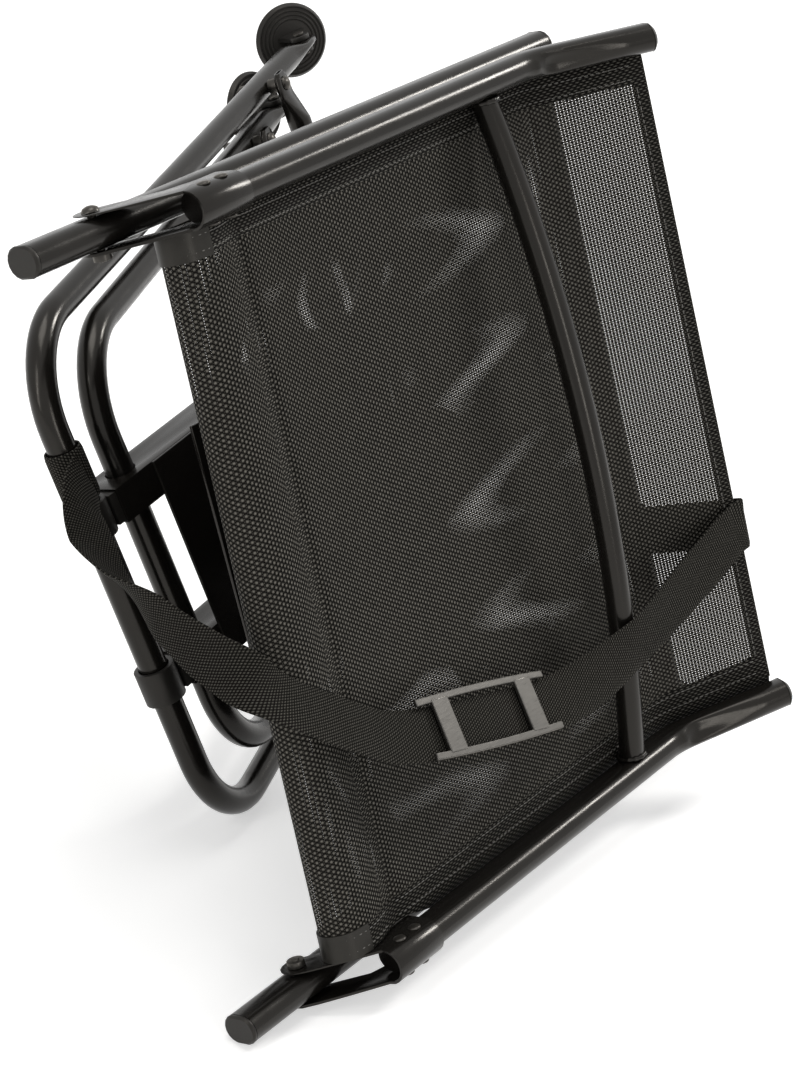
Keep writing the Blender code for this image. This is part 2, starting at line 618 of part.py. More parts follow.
def strap(chair, back, outer_legs, webbing, steel):
    inner = LEG_DIA / 2 + LEG_CLEARANCE
    half = STRAP_WIDTH / 2
    outline = [(inner, -half), (inner + STRAP_THICKNESS, -half), (inner + STRAP_THICKNESS, half), (inner, half)]
    turned("strap_leg_loop", outline, along(Y, Vector((0, STRAP_LOOP_AT, 0))), webbing, outer_legs, 20)
    inner = CROSS_TUBE_DIA / 2 + LEG_CLEARANCE
    outline = [(inner, -half), (inner + STRAP_THICKNESS, -half), (inner + STRAP_THICKNESS, half), (inner, half)]
    turned("strap_seat_loop", outline, along(Y, Vector((FRONT_TUBE_AT, -STRAP_SEAT_AT * RAIL_SPACING, 0))), webbing, chair, 20)
    turn = Matrix.Rotation(math.radians(SWIVEL_DEG), 3, "Z")
    loop = turn @ Vector((OUTER_AT, STRAP_LOOP_AT, OUTER_Z)) + Vector((SWIVEL_X, 0, 0))
    rise = LEG_DIA / 2 + LEG_CLEARANCE + STRAP_THICKNESS
    low = [loop + rise * Vector(step) for step in ((-0.23, -0.05, 1.25), (-1.74, -0.86, 2.206), (-3.09, -2.522, 3.75))]
    low += over_frame([(-0.0015, 0.0275, -0.065), (-0.0083, 0.0070, -0.0309)])
    sides = [(0.15, -0.989, 0), (0.15, -0.97, 0.05), (0.15, -0.96, 0.1), (0.05, -0.94, 0.25), (-0.05, -0.92, 0.35)]
    ribbon("strap_lower", low, sides, STRAP_WIDTH, STRAP_THICKNESS, webbing, chair)
    high = [(-0.0085, 0.0064, -0.0300), (-0.0115, -0.0140, 0.003), (-0.0080, -0.0330, 0.033), (0.0080, -0.0540, 0.0475)]
    high += [(0.0452, -0.0858, 0.053), (0.0925, -0.1191, 0.0555), (0.1750, -0.1440, 0.0625), (0.2540, -0.1610, 0.0685)]
    high += [(0.3385, -0.1560, 0.0735), (0.4150, -0.1370, 0.0785), (0.4660, -0.1210, 0.0845), (0.4812, -0.1190, 0.0855)]
    high += [(0.4745, -0.1180, 0.0690), (0.4590, -0.1180, 0.0150)]
    high = over_frame(high)
    sides = [(-0.05, -0.92, 0.35), (-0.12, -0.90, 0.40), (-0.16, -0.87, 0.45), (-0.2, -0.855, 0.47), (-0.2, -0.855, 0.40)]
    sides.append((-0.2, -0.855, 0.40))
    sides += [(-0.2, -0.855, 0.40), (-0.2, -0.88, 0.35), (-0.12, -0.98, -0.13), (-0.2, -0.97, 0.02), (-0.15, -0.985, 0)]
    sides += [(0, -1, 0), (0, -1, 0), (0, -1, 0)]
    ribbon("carry_strap", high, sides, STRAP_WIDTH, STRAP_THICKNESS, webbing, back)
    slide(high, back, steel)


def slide(points, back, steel):
    """A two-bar metal slide lying on the webbing."""
    one = Vector(points[5])
    two = Vector(points[7])
    run = (two - one).normalized()
    side = Vector((-0.2, -0.855, 0.43))
    side = (side - run * side.dot(run)).normalized()
    rise = run.cross(side)
    if rise.z < 0:
        rise = -rise
    centre = (one + two) / 2 + rise * (STRAP_THICKNESS / 2 + SLIDE_BAR / 2 - 0.0001)
    bm = bmesh.new()
    rings = []
    corner = 0.006
    for grow in (0, -SLIDE_BAR):
        a = SLIDE_LENGTH / 2 + grow
        b = SLIDE_WIDTH / 2 + grow
        r = corner + grow
        outline = []
        for ca, cb, first in ((a - r, b - r, 0), (-a + r, b - r, 90), (-a + r, -b + r, 180), (a - r, -b + r, 270)):
            for i in range(4):
                angle = math.radians(first + 30 * i)
                outline.append((ca + r * math.cos(angle), cb + r * math.sin(angle)))
        rings.append(outline)
    half = SLIDE_BAR / 2
    loops = []
    for outline, height in ((rings[0], -half), (rings[0], half), (rings[1], half), (rings[1], -half)):
        loops.append([bm.verts.new(centre + run * a + side * b + rise * height) for a, b in outline])
    for one_loop, two_loop in zip(loops, loops[1:] + loops[:1]):
        for i in range(len(one_loop)):
            j = (i + 1) % len(one_loop)
            bm.faces.new((one_loop[i], one_loop[j], two_loop[j], two_loop[i]))
    add("strap_slide", bm, steel, back)


def main():
    for item in list(bpy.data.objects):
        bpy.data.objects.remove(item, do_unlink=True)
    coat = material("black_coat", (0.028, 0.025, 0.023), 0.2, 0.35)
    plastic = material("black_plastic", (0.02, 0.02, 0.02), 0, 0.6)
    steel = material("satin_steel", (0.42, 0.42, 0.43), 1, 0.4)
    mesh = material("mesh_cloth", (0.03, 0.03, 0.032), 0, 0.9)
    webbing = material("webbing", (0.02, 0.02, 0.02), 0, 0.85)
    chair = empty("chair", None, (0, 0, 0))
    back = empty("back_pivot", chair, (0, 0, 0))
    base = empty("base_pivot", chair, (SWIVEL_X, 0, 0), (0, 0, math.radians(SWIVEL_DEG)))
    top, low = seat_frame(chair, coat, plastic, steel)
    back_frame(back, coat, plastic, steel)
    sling(chair, back, mesh)
    base_frame(base, top, low, coat, plastic, steel)
    outer_legs, inner_legs = legs(base, coat, plastic, steel)
    strap(chair, back, outer_legs, webbing, steel)
    chair.rotation_euler = (math.radians(STANCE_ROLL), math.radians(STANCE_PITCH), 0)
    bpy.context.view_layer.update()
    settle(chair)


def settle(chair):
    """Moves the whole chair so that the middle of its box's floor side is the origin."""
    graph = bpy.context.evaluated_depsgraph_get()
    corners = []
    for item in bpy.data.objects:
        if item.type == "MESH" and not item.hide_render:
            solid = item.evaluated_get(graph)
            corners += [solid.matrix_world @ vert.co for vert in solid.data.vertices]
    low = [min(c[i] for c in corners) for i in range(3)]
    high = [max(c[i] for c in corners) for i in range(3)]
    chair.location = (-(low[0] + high[0]) / 2, -(low[1] + high[1]) / 2, -low[2])
    bpy.context.view_layer.update()


main()
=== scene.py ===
"""Looks of the folded swivel chair: coated tubes, woven sling, webbing strap and studio."""

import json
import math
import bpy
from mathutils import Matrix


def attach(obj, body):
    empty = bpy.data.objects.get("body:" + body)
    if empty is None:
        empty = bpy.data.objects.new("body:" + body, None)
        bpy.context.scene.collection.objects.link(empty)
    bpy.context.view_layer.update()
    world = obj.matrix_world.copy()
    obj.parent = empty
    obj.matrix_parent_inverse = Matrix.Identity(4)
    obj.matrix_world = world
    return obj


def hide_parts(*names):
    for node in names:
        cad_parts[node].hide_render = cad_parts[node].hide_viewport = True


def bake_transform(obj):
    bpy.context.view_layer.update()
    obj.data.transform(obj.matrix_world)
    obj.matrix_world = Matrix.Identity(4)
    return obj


bl_info = {
    "name": "Folded swivel chair",
    "version": (1, 0, 0),
    "blender": (4, 5, 0),
    "location": "View3D > Sidebar > Chair",
    "description": "Dresses the packed swivel chair with coated tubes, a woven sling and a carry strap",
    "category": "Object",
}

import bmesh
import bpy
import numpy as np
from bpy.props import FloatProperty, FloatVectorProperty, PointerProperty
from mathutils import Matrix, Vector

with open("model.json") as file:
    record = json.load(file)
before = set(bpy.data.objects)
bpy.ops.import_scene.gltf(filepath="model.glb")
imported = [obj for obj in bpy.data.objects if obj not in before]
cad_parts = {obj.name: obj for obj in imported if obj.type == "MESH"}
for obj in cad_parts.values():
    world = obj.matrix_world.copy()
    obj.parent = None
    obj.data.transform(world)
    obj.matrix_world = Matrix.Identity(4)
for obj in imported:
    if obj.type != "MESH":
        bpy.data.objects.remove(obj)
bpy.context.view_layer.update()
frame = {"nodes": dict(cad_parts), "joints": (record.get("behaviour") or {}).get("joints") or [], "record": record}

JOINTS = {joint["name"]: joint for joint in frame["joints"]}
BODIES = frame["record"]["behaviour"]["bodies"]
NODE_BODY = {node: body for body, members in BODIES.items() for node in members}
X = Vector((1, 0, 0))
Y = Vector((0, 1, 0))
Z = Vector((0, 0, 1))
SIDES = {"left": 1, "right": -1}
IN_PLACE = Matrix.Identity(4)


def axes(origin, y, z):
    """The matrix of a right-handed frame with that origin, Y and Z."""
    y = Vector(y).normalized()
    z = Vector(z).normalized()
    x = y.cross(z).normalized()
    z = x.cross(y)
    grid = Matrix((x, y, z)).transposed().to_4x4()
    grid.translation = Vector(origin)
    return grid


# The chair's own axes, about the back's hinge: X to the seat's front, Y to its left, Z up from the seat
UP = Vector(JOINTS["seat_swivel"]["axis"])
CHAIR = axes(JOINTS["back_fold"]["pos_m"], -Vector(JOINTS["back_fold"]["axis"]), UP)
CHAIR_TURN = CHAIR.to_3x3()

# Sizes that the source gives, in metres and degrees
RAIL_SPACING = 0.520
RAIL_WIDTH = 0.0205
RAIL_HEIGHT = 0.0265
RAIL_BEND = 0.05
SEAT_TAIL = 0.0605
SEAT_FRONT = 0.467
BACK_RISE = 0.045
BACK_START = 0.045
BACK_BEND_AT = 0.390
BACK_BEND = math.radians(31.0)
BACK_END_LENGTH = 0.096
BACK_END_TOE = 0.005
BACK_TUBE_AT = 0.338
BACK_TUBE_BOW = 0.026
CROSS_TUBE_DIA = 0.019
CROSS_TUBE_HALF = RAIL_SPACING / 2 - RAIL_WIDTH / 2
FRONT_TUBE_AT = 0.457
BRACKET_END = 0.080
BRACKET_PLATE = 0.002
BRACKET_FIT = 0.0006
SLING_BACK_Z = 0.0335
SLING_SEAT_Z = 0.0105
SLING_FOLD_AT = 0.0215
SLING_FRONT = 0.4435
LEG_DIA = 0.021
LEG_BEND = 0.065
LEG_FLAT = 0.006
LEG_TAPER = 0.042
LEG_WIDTH = {"outer": 0.3958, "inner": 0.3396}
LEG_PIN_AT = {"outer": 0.6155, "inner": 0.495}
LEG_TILT = {"outer": 20.0, "inner": 22.0}
PAD_TILT = {"outer": 40.0, "inner": 68.0}
PAD_RADIUS = 0.0320
PAD_DROP = 0.021
PAD_SOLE = 0.028
STRAP_LOOP_AT = 0.102
STRAP_SEAT_AT = -0.118
STRAP_LOOP_FIT = 0.0009

# How finely curves are divided, and the shortest step
RAIL_FACETS = 32
TUBE_FACETS = 24
CURVE_STEPS = 24
BOW_STEPS = 40
TINY = 1e-9


# Nodes

def node(tree, kind, settings=None, **sockets):
    """The outputs of a node with its settings and its inputs, each a value or another node's output."""
    made = tree.nodes.new(kind)
    for key, value in (settings or {}).items():
        setattr(made, key, value)
    for key, value in sockets.items():
        socket = made.inputs[key.replace("_", " ")]
        if isinstance(value, bpy.types.NodeSocket):
            tree.links.new(value, socket)
        else:
            socket.default_value = value
    return made.outputs


def maths(tree, operation, one, two=None):
    """A Math node's result on two values, each a socket or a number."""
    made = tree.nodes.new("ShaderNodeMath")
    made.operation = operation
    for socket, value in zip(made.inputs, (one, two)):
        if isinstance(value, (int, float)):
            socket.default_value = value
        elif value is not None:
            tree.links.new(value, socket)
    return made.outputs[0]


# Finishes

SPECULAR_TINT = (1.0, 0.95, 0.88, 1)


def shade(colour, factor):
    return (*(min(1.0, part * factor) for part in colour), 1)


class Finish:
    """A material in the making: its tree, its Principled inputs and the piece's own coordinates."""

    def __init__(self, name, colour, roughness, metallic=0.0, specular=0.5):
        self.material = bpy.data.materials.new(name)
        self.material.use_nodes = True
        self.tree = self.material.node_tree
        self.colour = colour
        self.surface = self.tree.nodes["Principled BSDF"].inputs
        self.surface["Base Color"].default_value = (*colour, 1)
        self.surface["Roughness"].default_value = roughness
        self.surface["Metallic"].default_value = metallic
        self.surface["Specular IOR Level"].default_value = specular
        self.surface["Specular Tint"].default_value = SPECULAR_TINT
        self.where = self.add("TexCoord")["Object"]

    def maths(self, operation, one, two=None):
        return maths(self.tree, operation, one, two)

    def add(self, kind, settings=None, **sockets):
        return node(self.tree, "ShaderNode" + kind, settings, **sockets)

    def attribute(self, name):
        return self.add("Attribute", {"attribute_name": name})["Fac"]

    def stretched(self, scale):
        """The piece's coordinates, scaled apart along each axis."""
        return self.add("Mapping", Scale=scale, Vector=self.where)["Vector"]

    def noise(self, scale, detail=3.0, rough=0.5, where=None):
        where = where or self.where
        return self.add("TexNoise", Scale=scale, Detail=detail, Roughness=rough, Vector=where)["Fac"]

    def crest(self, turns):
        """A wave of one crest a turn, from 0 to 1."""
        wave = self.maths("COSINE", self.maths("MULTIPLY", turns, 2 * math.pi))
        return self.maths("ADD", 0.5, self.maths("MULTIPLY", wave, 0.5))

    def tinted(self, value, low, high):
        """The colour runs from its low to its high multiple with the value."""
        one, two = shade(self.colour, low), shade(self.colour, high)
        mix = self.add("Mix", {"data_type": "RGBA"}, A=one, B=two, Factor=value)
        self.tree.links.new(mix["Result"], self.surface["Base Color"])

    def glossed(self, value, low, high, start=0.3, end=0.7):
        """The roughness runs from low to high as the value goes from start to end."""
        span = self.add("MapRange", From_Min=start, From_Max=end, To_Min=low, To_Max=high, Value=value)
        self.tree.links.new(span["Result"], self.surface["Roughness"])

    def raised(self, height, depth, strength):
        bump = self.add("Bump", Distance=depth, Strength=strength, Height=height)
        self.tree.links.new(bump["Normal"], self.surface["Normal"])


def made_once(recipe):
    """Makes the recipe's material at its first call, under the recipe's name, and finds it again later."""

    def find():
        name = recipe.__name__
        return bpy.data.materials.get(name) or recipe(name, bpy.context.scene.chair_finishes).material

    return find


@made_once
def powder_coat(name, looks):
    """Satin black powder coat with a fine orange peel and faint handling marks."""
    coat = Finish(name, looks.coat, looks.coat_roughness, specular=0.29)
    coat.tinted(coat.noise(scale=9.0, detail=4.0), low=0.8, high=1.3)
    marks = coat.noise(scale=60.0, detail=6.0, rough=0.65)
    coat.glossed(marks, looks.coat_roughness - 0.05, looks.coat_roughness + 0.07)
    coat.raised(coat.noise(scale=1100.0, detail=2.0), depth=0.00012, strength=0.35)
    return coat


@made_once
def moulded_plastic(name, looks):
    """Matte black moulded plastic with a fine grain."""
    plastic = Finish(name, looks.plastic, roughness=0.45, specular=0.3)
    tone = plastic.noise(scale=35.0, detail=4.0)
    plastic.tinted(tone, low=0.8, high=1.35)
    plastic.glossed(tone, low=0.36, high=0.52)
    plastic.raised(plastic.noise(scale=1800.0), depth=0.0001, strength=0.5)
    return plastic


@made_once
def dark_bolt(name, looks):
    """Blackened steel of bolts, pins and rivets."""
    steel = Finish(name, looks.bolt, roughness=0.33, metallic=0.6)
    tone = steel.noise(scale=240.0, detail=4.0)
    steel.tinted(tone, low=0.7, high=1.5)
    steel.glossed(tone, low=0.26, high=0.42)
    return steel


@made_once
def satin_slide(name, looks):
    """Grey satin metal with a fine grain."""
    metal = Finish(name, looks.slide, roughness=0.32, metallic=0.9)
    grain = metal.noise(scale=1.0, detail=5.0, rough=0.6, where=metal.stretched((120.0, 900.0, 900.0)))
    metal.tinted(grain, low=0.92, high=1.08)
    metal.glossed(grain, low=0.27, high=0.36)
    metal.raised(grain, depth=0.00002, strength=0.3)
    return metal


def yarn_light(yarn):
    """How far a yarn stands over the one it crosses, and how near a point is to its crown, from 0 to 1, for the
    yarn's bump and for its painted highlight and shade.
    """
    sizes = bpy.context.scene.chair_sling
    do = yarn.maths
    u = do("DIVIDE", yarn.attribute("across"), sizes.pitch)
    v = do("DIVIDE", yarn.attribute("along"), cross_spacing())
    column = do("FLOOR", u)
    row = do("FLOOR", do("ADD", v, 0.5))
    cross = yarn.attribute("cross")

    def pick(one, two):
        """The first value on long yarns, the second on cross yarns."""
        return do("ADD", do("MULTIPLY", one, do("SUBTRACT", 1.0, cross)), do("MULTIPLY", two, cross))

    def wave(place, sign):
        turn = do("COSINE", do("MULTIPLY", place, math.pi))
        return do("ADD", 0.5, do("MULTIPLY", turn, 0.5 * sign))

    def crown(offset, share):
        out = do("MULTIPLY", offset, 2.0 / share)
        return do("MAXIMUM", 0.0, do("SUBTRACT", 1.0, do("MULTIPLY", out, out)))

    middle = do("SUBTRACT", u, sizes.long_yarn / 2)
    over = pick(wave(do("ADD", v, column), 1), wave(do("ADD", middle, row), -1))
    long_crown = crown(do("SUBTRACT", middle, column), sizes.long_yarn)
    cross_crown = crown(do("SUBTRACT", v, row), sizes.cross_yarn)
    return over, pick(long_crown, cross_crown)


def woven(name, colour, roughness, highlight_gain):
    """Vinyl-coated yarn with a painted highlight on the crown of each crossing and painted shade where it dips
    under.
    """
    yarn = Finish(name, colour, roughness, specular=0.06)
    over, inside = yarn_light(yarn)
    # Painted highlight and shade: the colour runs from dark under a crossing yarn to many times lighter on the
    # crown of the yarn on top.
    crest = yarn.maths("MULTIPLY", yarn.maths("POWER", over, 1.6), inside)
    tone = yarn.maths("MULTIPLY", crest, yarn.maths("ADD", 0.55, yarn.noise(scale=260.0)))
    yarn.tinted(tone, low=0.12, high=highlight_gain)
    yarn.glossed(tone, roughness + 0.2, roughness, start=0.1, end=0.9)
    height = yarn.maths("ADD", yarn.maths("MULTIPLY", over, 0.6), yarn.maths("MULTIPLY", inside, 0.5))
    yarn.raised(height, depth=0.0006, strength=0.7)
    return yarn


@made_once
def coated_yarn(name, looks):
    """The sling's yarn."""
    return woven(name, looks.cloth, roughness=0.36, highlight_gain=10.0)


@made_once
def hem_cloth(name, looks):
    """The same yarn, doubled and pressed in the hems."""
    return woven(name, looks.hem, roughness=0.42, highlight_gain=8.0)


@made_once
def ribbed_webbing(name, looks):
    """Black polyester webbing with painted highlights: light dots where its lengthwise cords cross its ribs."""
    sizes = bpy.context.scene.chair_strap
    web = Finish(name, looks.webbing, roughness=0.7, specular=0.05)
    web.surface["Sheen Weight"].default_value = 0.02
    web.surface["Sheen Roughness"].default_value = 0.4
    row = web.maths("DIVIDE", web.attribute("along"), sizes.rib_pitch)
    column = web.maths("DIVIDE", web.attribute("across"), sizes.cord_pitch)
    column = web.maths("ADD", column, web.maths("MULTIPLY", row, 0.5))
    crossing = web.maths("MULTIPLY", web.crest(column), web.crest(row))
    tone = web.maths("MULTIPLY", crossing, web.maths("ADD", 0.5, web.noise(scale=420.0, detail=4.0)))
    # Painted highlight: the colour is lit up where cords cross ribs, up to many times the webbing's black.
    web.tinted(tone, low=0.25, high=8.6)
    web.glossed(tone, low=0.85, high=0.62)
    web.raised(tone, depth=0.0005, strength=0.9)
    return web


@made_once
def binding_tape(name, looks):
    """Smooth dark tape over the ends of the fold."""
    tape = Finish(name, looks.webbing, roughness=0.4, specular=0.3)
    tone = tape.noise(scale=140.0, detail=4.0)
    tape.tinted(tone, low=0.7, high=1.6)
    tape.glossed(tone, low=0.34, high=0.48)
    tape.raised(tape.noise(scale=900.0), depth=0.0002, strength=0.5)
    return tape


@made_once
def sewing_thread(name, looks):
    """Light thread of the hems' stitches."""
    thread = Finish(name, looks.thread, roughness=0.6, specular=0.35)
    thread.tinted(thread.noise(scale=2500.0, detail=2.0), low=0.6, high=1.4)
    return thread


# Making pieces

MERGE = 0.00002
MERGE_EASED = 0.000005
FLAT_DEG = 0.6
KEEN_DEG = 48


def placed(name, data):
    """A new object with that data, in the scene."""
    made = bpy.data.objects.new(name, data)
    bpy.context.scene.collection.objects.link(made)
    return made


def show(name, bm, finish, place, sharp=38.0):
    """The bmesh as a piece in the row frame, smooth but for edges sharper than the angle."""
    bm.transform(place)
    limit = math.radians(sharp)
    for face in bm.faces:
        face.smooth = True
    for edge in bm.edges:
        edge.smooth = len(edge.link_faces) != 2 or edge.calc_face_angle(0) < limit
    mesh = bpy.data.meshes.new(name)
    bm.to_mesh(mesh)
    bm.free()
    mesh.materials.append(finish)
    return placed(name, mesh)


def carried(piece, body, slot, *nodes):
    """The piece moves with the body and stands for the nodes."""
    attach(piece, body)
    if nodes:
        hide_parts(*nodes)
    return piece


def ease(bm, edges, angle, offset, profile=0.6):
    """Rounds those of the edges that are keener than the angle."""
    limit = math.radians(angle)
    keen = [e for e in edges if len(e.link_faces) == 2 and e.calc_face_angle(0) > limit]
    bmesh.ops.bevel(bm, geom=keen, offset=offset, segments=2, profile=profile, affect="EDGES",
                    clamp_overlap=True)


def dressed(node, finish, slot, edge=0.0):
    """A merged, smoothed copy of a source solid with its edges eased, in its place."""
    bm = bmesh.new()
    bm.from_mesh(frame["nodes"][node].data)
    bmesh.ops.remove_doubles(bm, verts=bm.verts, dist=MERGE)
    bmesh.ops.dissolve_limit(bm, angle_limit=math.radians(FLAT_DEG), verts=bm.verts, edges=bm.edges)
    if edge:
        ease(bm, bm.edges, KEEN_DEG, edge)
        bmesh.ops.remove_doubles(bm, verts=bm.verts, dist=MERGE_EASED)
    bmesh.ops.triangulate(bm, faces=[f for f in bm.faces if len(f.verts) > 4])
    carried(show(node + "_dressed", bm, finish, IN_PLACE), NODE_BODY[node], slot, node)


def turns(count):
    """Evenly spaced angles of a full turn."""
    return [2 * math.pi * i / count for i in range(count)]


def oval(width, height, sides):
    """A flat oval, or a circle where the two sizes are the same."""
    radius = min(width, height) / 2
    points = []
    for i in range(sides):
        angle = (i + 0.5) * 2 * math.pi / sides
        a = radius * math.cos(angle)
        b = radius * math.sin(angle)
        points.append((a + math.copysign(width / 2 - radius, a), b + math.copysign(height / 2 - radius, b)))
    return points


def route(points, radius, steps):
    """Centres and directions along a polyline whose corners are rounded to the radius."""
    found = [(points[0], (points[1] - points[0]).normalized())]
    for before, corner, after in zip(points, points[1:], points[2:]):
        arrive = (corner - before).normalized()
        leave = (after - corner).normalized()
        turn = arrive.angle(leave)
        start = corner - arrive * radius * math.tan(turn / 2)
        inward = (leave - arrive * arrive.dot(leave)).normalized()
        for i in range(steps + 1):
            angle = turn * i / steps
            place = start + arrive * radius * math.sin(angle) + inward * radius * (1 - math.cos(angle))
            found.append((place, arrive * math.cos(angle) + inward * math.sin(angle)))
    found.append((points[-1], (points[-1] - points[-2]).normalized()))
    return found


def finely(path, spacing):
    """The same path with more stations on its straight runs."""
    found = []
    for (one, heading), (two, after) in zip(path, path[1:]):
        count = max(1, round((two - one).length / spacing))
        for i in range(count):
            t = i / count
            found.append((one.lerp(two, t), heading.lerp(after, t).normalized()))
    return found + [path[-1]]


def lengths(run):
    """The distance along a run at each of its places, which come first in its entries."""
    total = [0.0]
    for one, two in zip(run, run[1:]):
        total.append(total[-1] + (two[0] - one[0]).length)
    return total


def smooth_run(points, spacing):
    """Places along a smooth curve through the points about that far apart, with point number and distance."""
    points = [Vector(p) for p in points]
    found = []
    for i in range(len(points) - 1):
        before = points[max(i - 1, 0)]
        one, two = points[i], points[i + 1]
        after = points[min(i + 2, len(points) - 1)]
        for k in range(CURVE_STEPS):
            t = k / CURVE_STEPS
            place = one * 2 + (two - before) * t + (before * 2 - one * 5 + two * 4 - after) * t * t
            place += (one * 3 - before - two * 3 + after) * t * t * t
            found.append((place / 2, i + t))
    found.append((points[-1], len(points) - 1.0))
    total = lengths(found)
    count = max(2, round(total[-1] / spacing))
    run = []
    k = 0
    for n in range(count + 1):
        want = total[-1] * n / count
        while k < len(total) - 2 and total[k + 1] < want:
            k += 1
        t = (want - total[k]) / max(total[k + 1] - total[k], TINY)
        (one, share), (two, after) = found[k], found[k + 1]
        run.append((one.lerp(two, t), share + (after - share) * t, want))
    return run


def wall(bm, one, two):
    """Faces from one ring of vertices to the next. A ring may be one vertex repeated."""
    faces = []
    for i in range(len(one)):
        j = (i + 1) % len(one)
        faces.append(bm.faces.new(list(dict.fromkeys((one[i], one[j], two[j], two[i])))))
    return faces


def block(bm, low, high):
    """The faces of a closed block between two like outlines of vertices."""
    return wall(bm, low, high) + [bm.faces.new(list(reversed(low))), bm.faces.new(high)]


def loft(stations, closed=False):
    """A bmesh skin over outlines: each station is a place, two directions and an outline."""
    bm = bmesh.new()
    loops = []
    for place, side, rise, outline in stations:
        loops.append([bm.verts.new(place + side * a + rise * b) for a, b in outline])
    for one, two in zip(loops, loops[1:] + loops[:1] if closed else loops[1:]):
        wall(bm, one, two)
    if not closed:
        bm.faces.new(list(reversed(loops[0])))
        bm.faces.new(loops[-1])
    bmesh.ops.recalc_face_normals(bm, faces=bm.faces)
    return bm


def joined(skins):
    """One bmesh of several."""
    whole = bmesh.new()
    for skin in skins:
        mesh = bpy.data.meshes.new("skin")
        skin.to_mesh(mesh)
        skin.free()
        whole.from_mesh(mesh)
        bpy.data.meshes.remove(mesh)
    return whole


def leg_place(kind):
    """The matrix of a leg frame: its cross run on Y, its legs along X."""
    joint = JOINTS[kind + "_leg_fold"]
    tilt = Matrix.Rotation(math.radians(LEG_TILT[kind]), 4, "Y")
    return axes(joint["pos_m"], joint["axis"], UP) @ tilt


# Geometry Nodes

CROSS_YARN_POINTS = 61


def grower(title, **inputs):
    """An empty Geometry Nodes tree with inputs named by kind, and its group nodes' sockets."""
    tree = bpy.data.node_groups.new(title, "GeometryNodeTree")
    for way in ("OUTPUT", "INPUT"):
        tree.interface.new_socket("Geometry", in_out=way, socket_type="NodeSocketGeometry")
    for kind, names in inputs.items():
        for name in names:
            tree.interface.new_socket(name, in_out="INPUT", socket_type="NodeSocket" + kind)
    return tree, tree.nodes.new("NodeGroupInput").outputs, tree.nodes.new("NodeGroupOutput").inputs


def vector(tree, x=0.0, y=0.0, z=0.0):
    return node(tree, "ShaderNodeCombineXYZ", X=x, Y=y, Z=z)[0]


def weave_tree():
    """Flat yarns along and across a sling's side profile."""
    tree, given, result = grower(
        "sling_weave", Float=("Width", "Pitch", "Long Share", "Cross Width", "Lift"),
        Int=("Long Yarns", "Cross Yarns"), Material=("Material",))

    def add(kind, settings=None, **sockets):
        return node(tree, "GeometryNode" + kind, settings, **sockets)

    first = vector(tree, y=maths(tree, "MULTIPLY", given["Width"], -0.5))
    edge = add("SetPosition", Geometry=given["Geometry"], Offset=first)
    edge = add("GeometryToInstance", Geometry=edge[0])
    edges = add("DuplicateElements", {"domain": "INSTANCE"}, Geometry=edge[0], Amount=given["Long Yarns"])
    step = vector(tree, y=maths(tree, "MULTIPLY", edges["Duplicate Index"], given["Pitch"]))
    edges = add("TranslateInstances", Instances=edges["Geometry"], Translation=step)
    edges = add("RealizeInstances", Geometry=edges[0])
    long_width = maths(tree, "MULTIPLY", given["Pitch"], given["Long Share"])
    long_yarns = add("ExtrudeMesh", {"mode": "EDGES"}, Mesh=edges[0], Offset=vector(tree, y=1.0),
                     Offset_Scale=long_width)

    curve = add("MeshToCurve", Mesh=given["Geometry"])
    curve = add("ResampleCurve", {"mode": "COUNT"}, Curve=curve[0], Count=given["Cross Yarns"])
    places = add("CurveToPoints", {"mode": "EVALUATED"}, Curve=curve[0])
    strip = add("MeshGrid", Size_X=given["Cross Width"], Size_Y=given["Width"], Vertices_X=2,
                Vertices_Y=CROSS_YARN_POINTS)
    strip = add("Transform", Geometry=strip[0], Translation=vector(tree, z=given["Lift"]))
    turn = node(tree, "FunctionNodeAlignRotationToVector", {"axis": "X", "pivot_axis": "Y"},
                Vector=places["Tangent"])
    yarns = add("InstanceOnPoints", Points=places["Points"], Instance=strip[0], Rotation=turn[0])
    yarns = add("RealizeInstances", Geometry=yarns[0])
    yarns = add("StoreNamedAttribute", {"data_type": "FLOAT", "domain": "POINT"}, Geometry=yarns[0],
                Name="cross", Value=1.0)

    join = tree.nodes.new("GeometryNodeJoinGeometry")
    tree.links.new(long_yarns["Mesh"], join.inputs[0])
    tree.links.new(yarns[0], join.inputs[0])
    whole = add("RealizeInstances", Geometry=join.outputs[0])
    whole = add("SetMaterial", Geometry=whole[0], Material=given["Material"])
    tree.links.new(whole[0], result[0])
    return tree


def scatter_tree(title, segments, rings, share):
    """A ball on each point, drawn along the point's aim to that share of the length on either side."""
    tree, given, result = grower(title, Float=("Radius", "Length"), Material=("Material",))

    def add(kind, settings=None, **sockets):
        return node(tree, "GeometryNode" + kind, settings, **sockets)

    ball = add("MeshUVSphere", Segments=segments, Rings=rings, Radius=given["Radius"])
    drawn = maths(tree, "DIVIDE", maths(tree, "MULTIPLY", given["Length"], share), given["Radius"])
    ball = add("Transform", Geometry=ball[0], Scale=vector(tree, 1.0, 1.0, drawn))
    aim = add("InputNamedAttribute", {"data_type": "FLOAT_VECTOR"}, Name="aim")
    turn = node(tree, "FunctionNodeAlignRotationToVector", {"axis": "Z"}, Vector=aim[0])
    places = add("MeshToPoints", Mesh=given["Geometry"])
    balls = add("InstanceOnPoints", Points=places[0], Instance=ball[0], Rotation=turn[0])
    balls = add("RealizeInstances", Geometry=balls[0])
    balls = add("SetShadeSmooth", Geometry=balls[0])
    balls = add("SetMaterial", Geometry=balls[0], Material=given["Material"])
    tree.links.new(balls[0], result[0])
    return tree


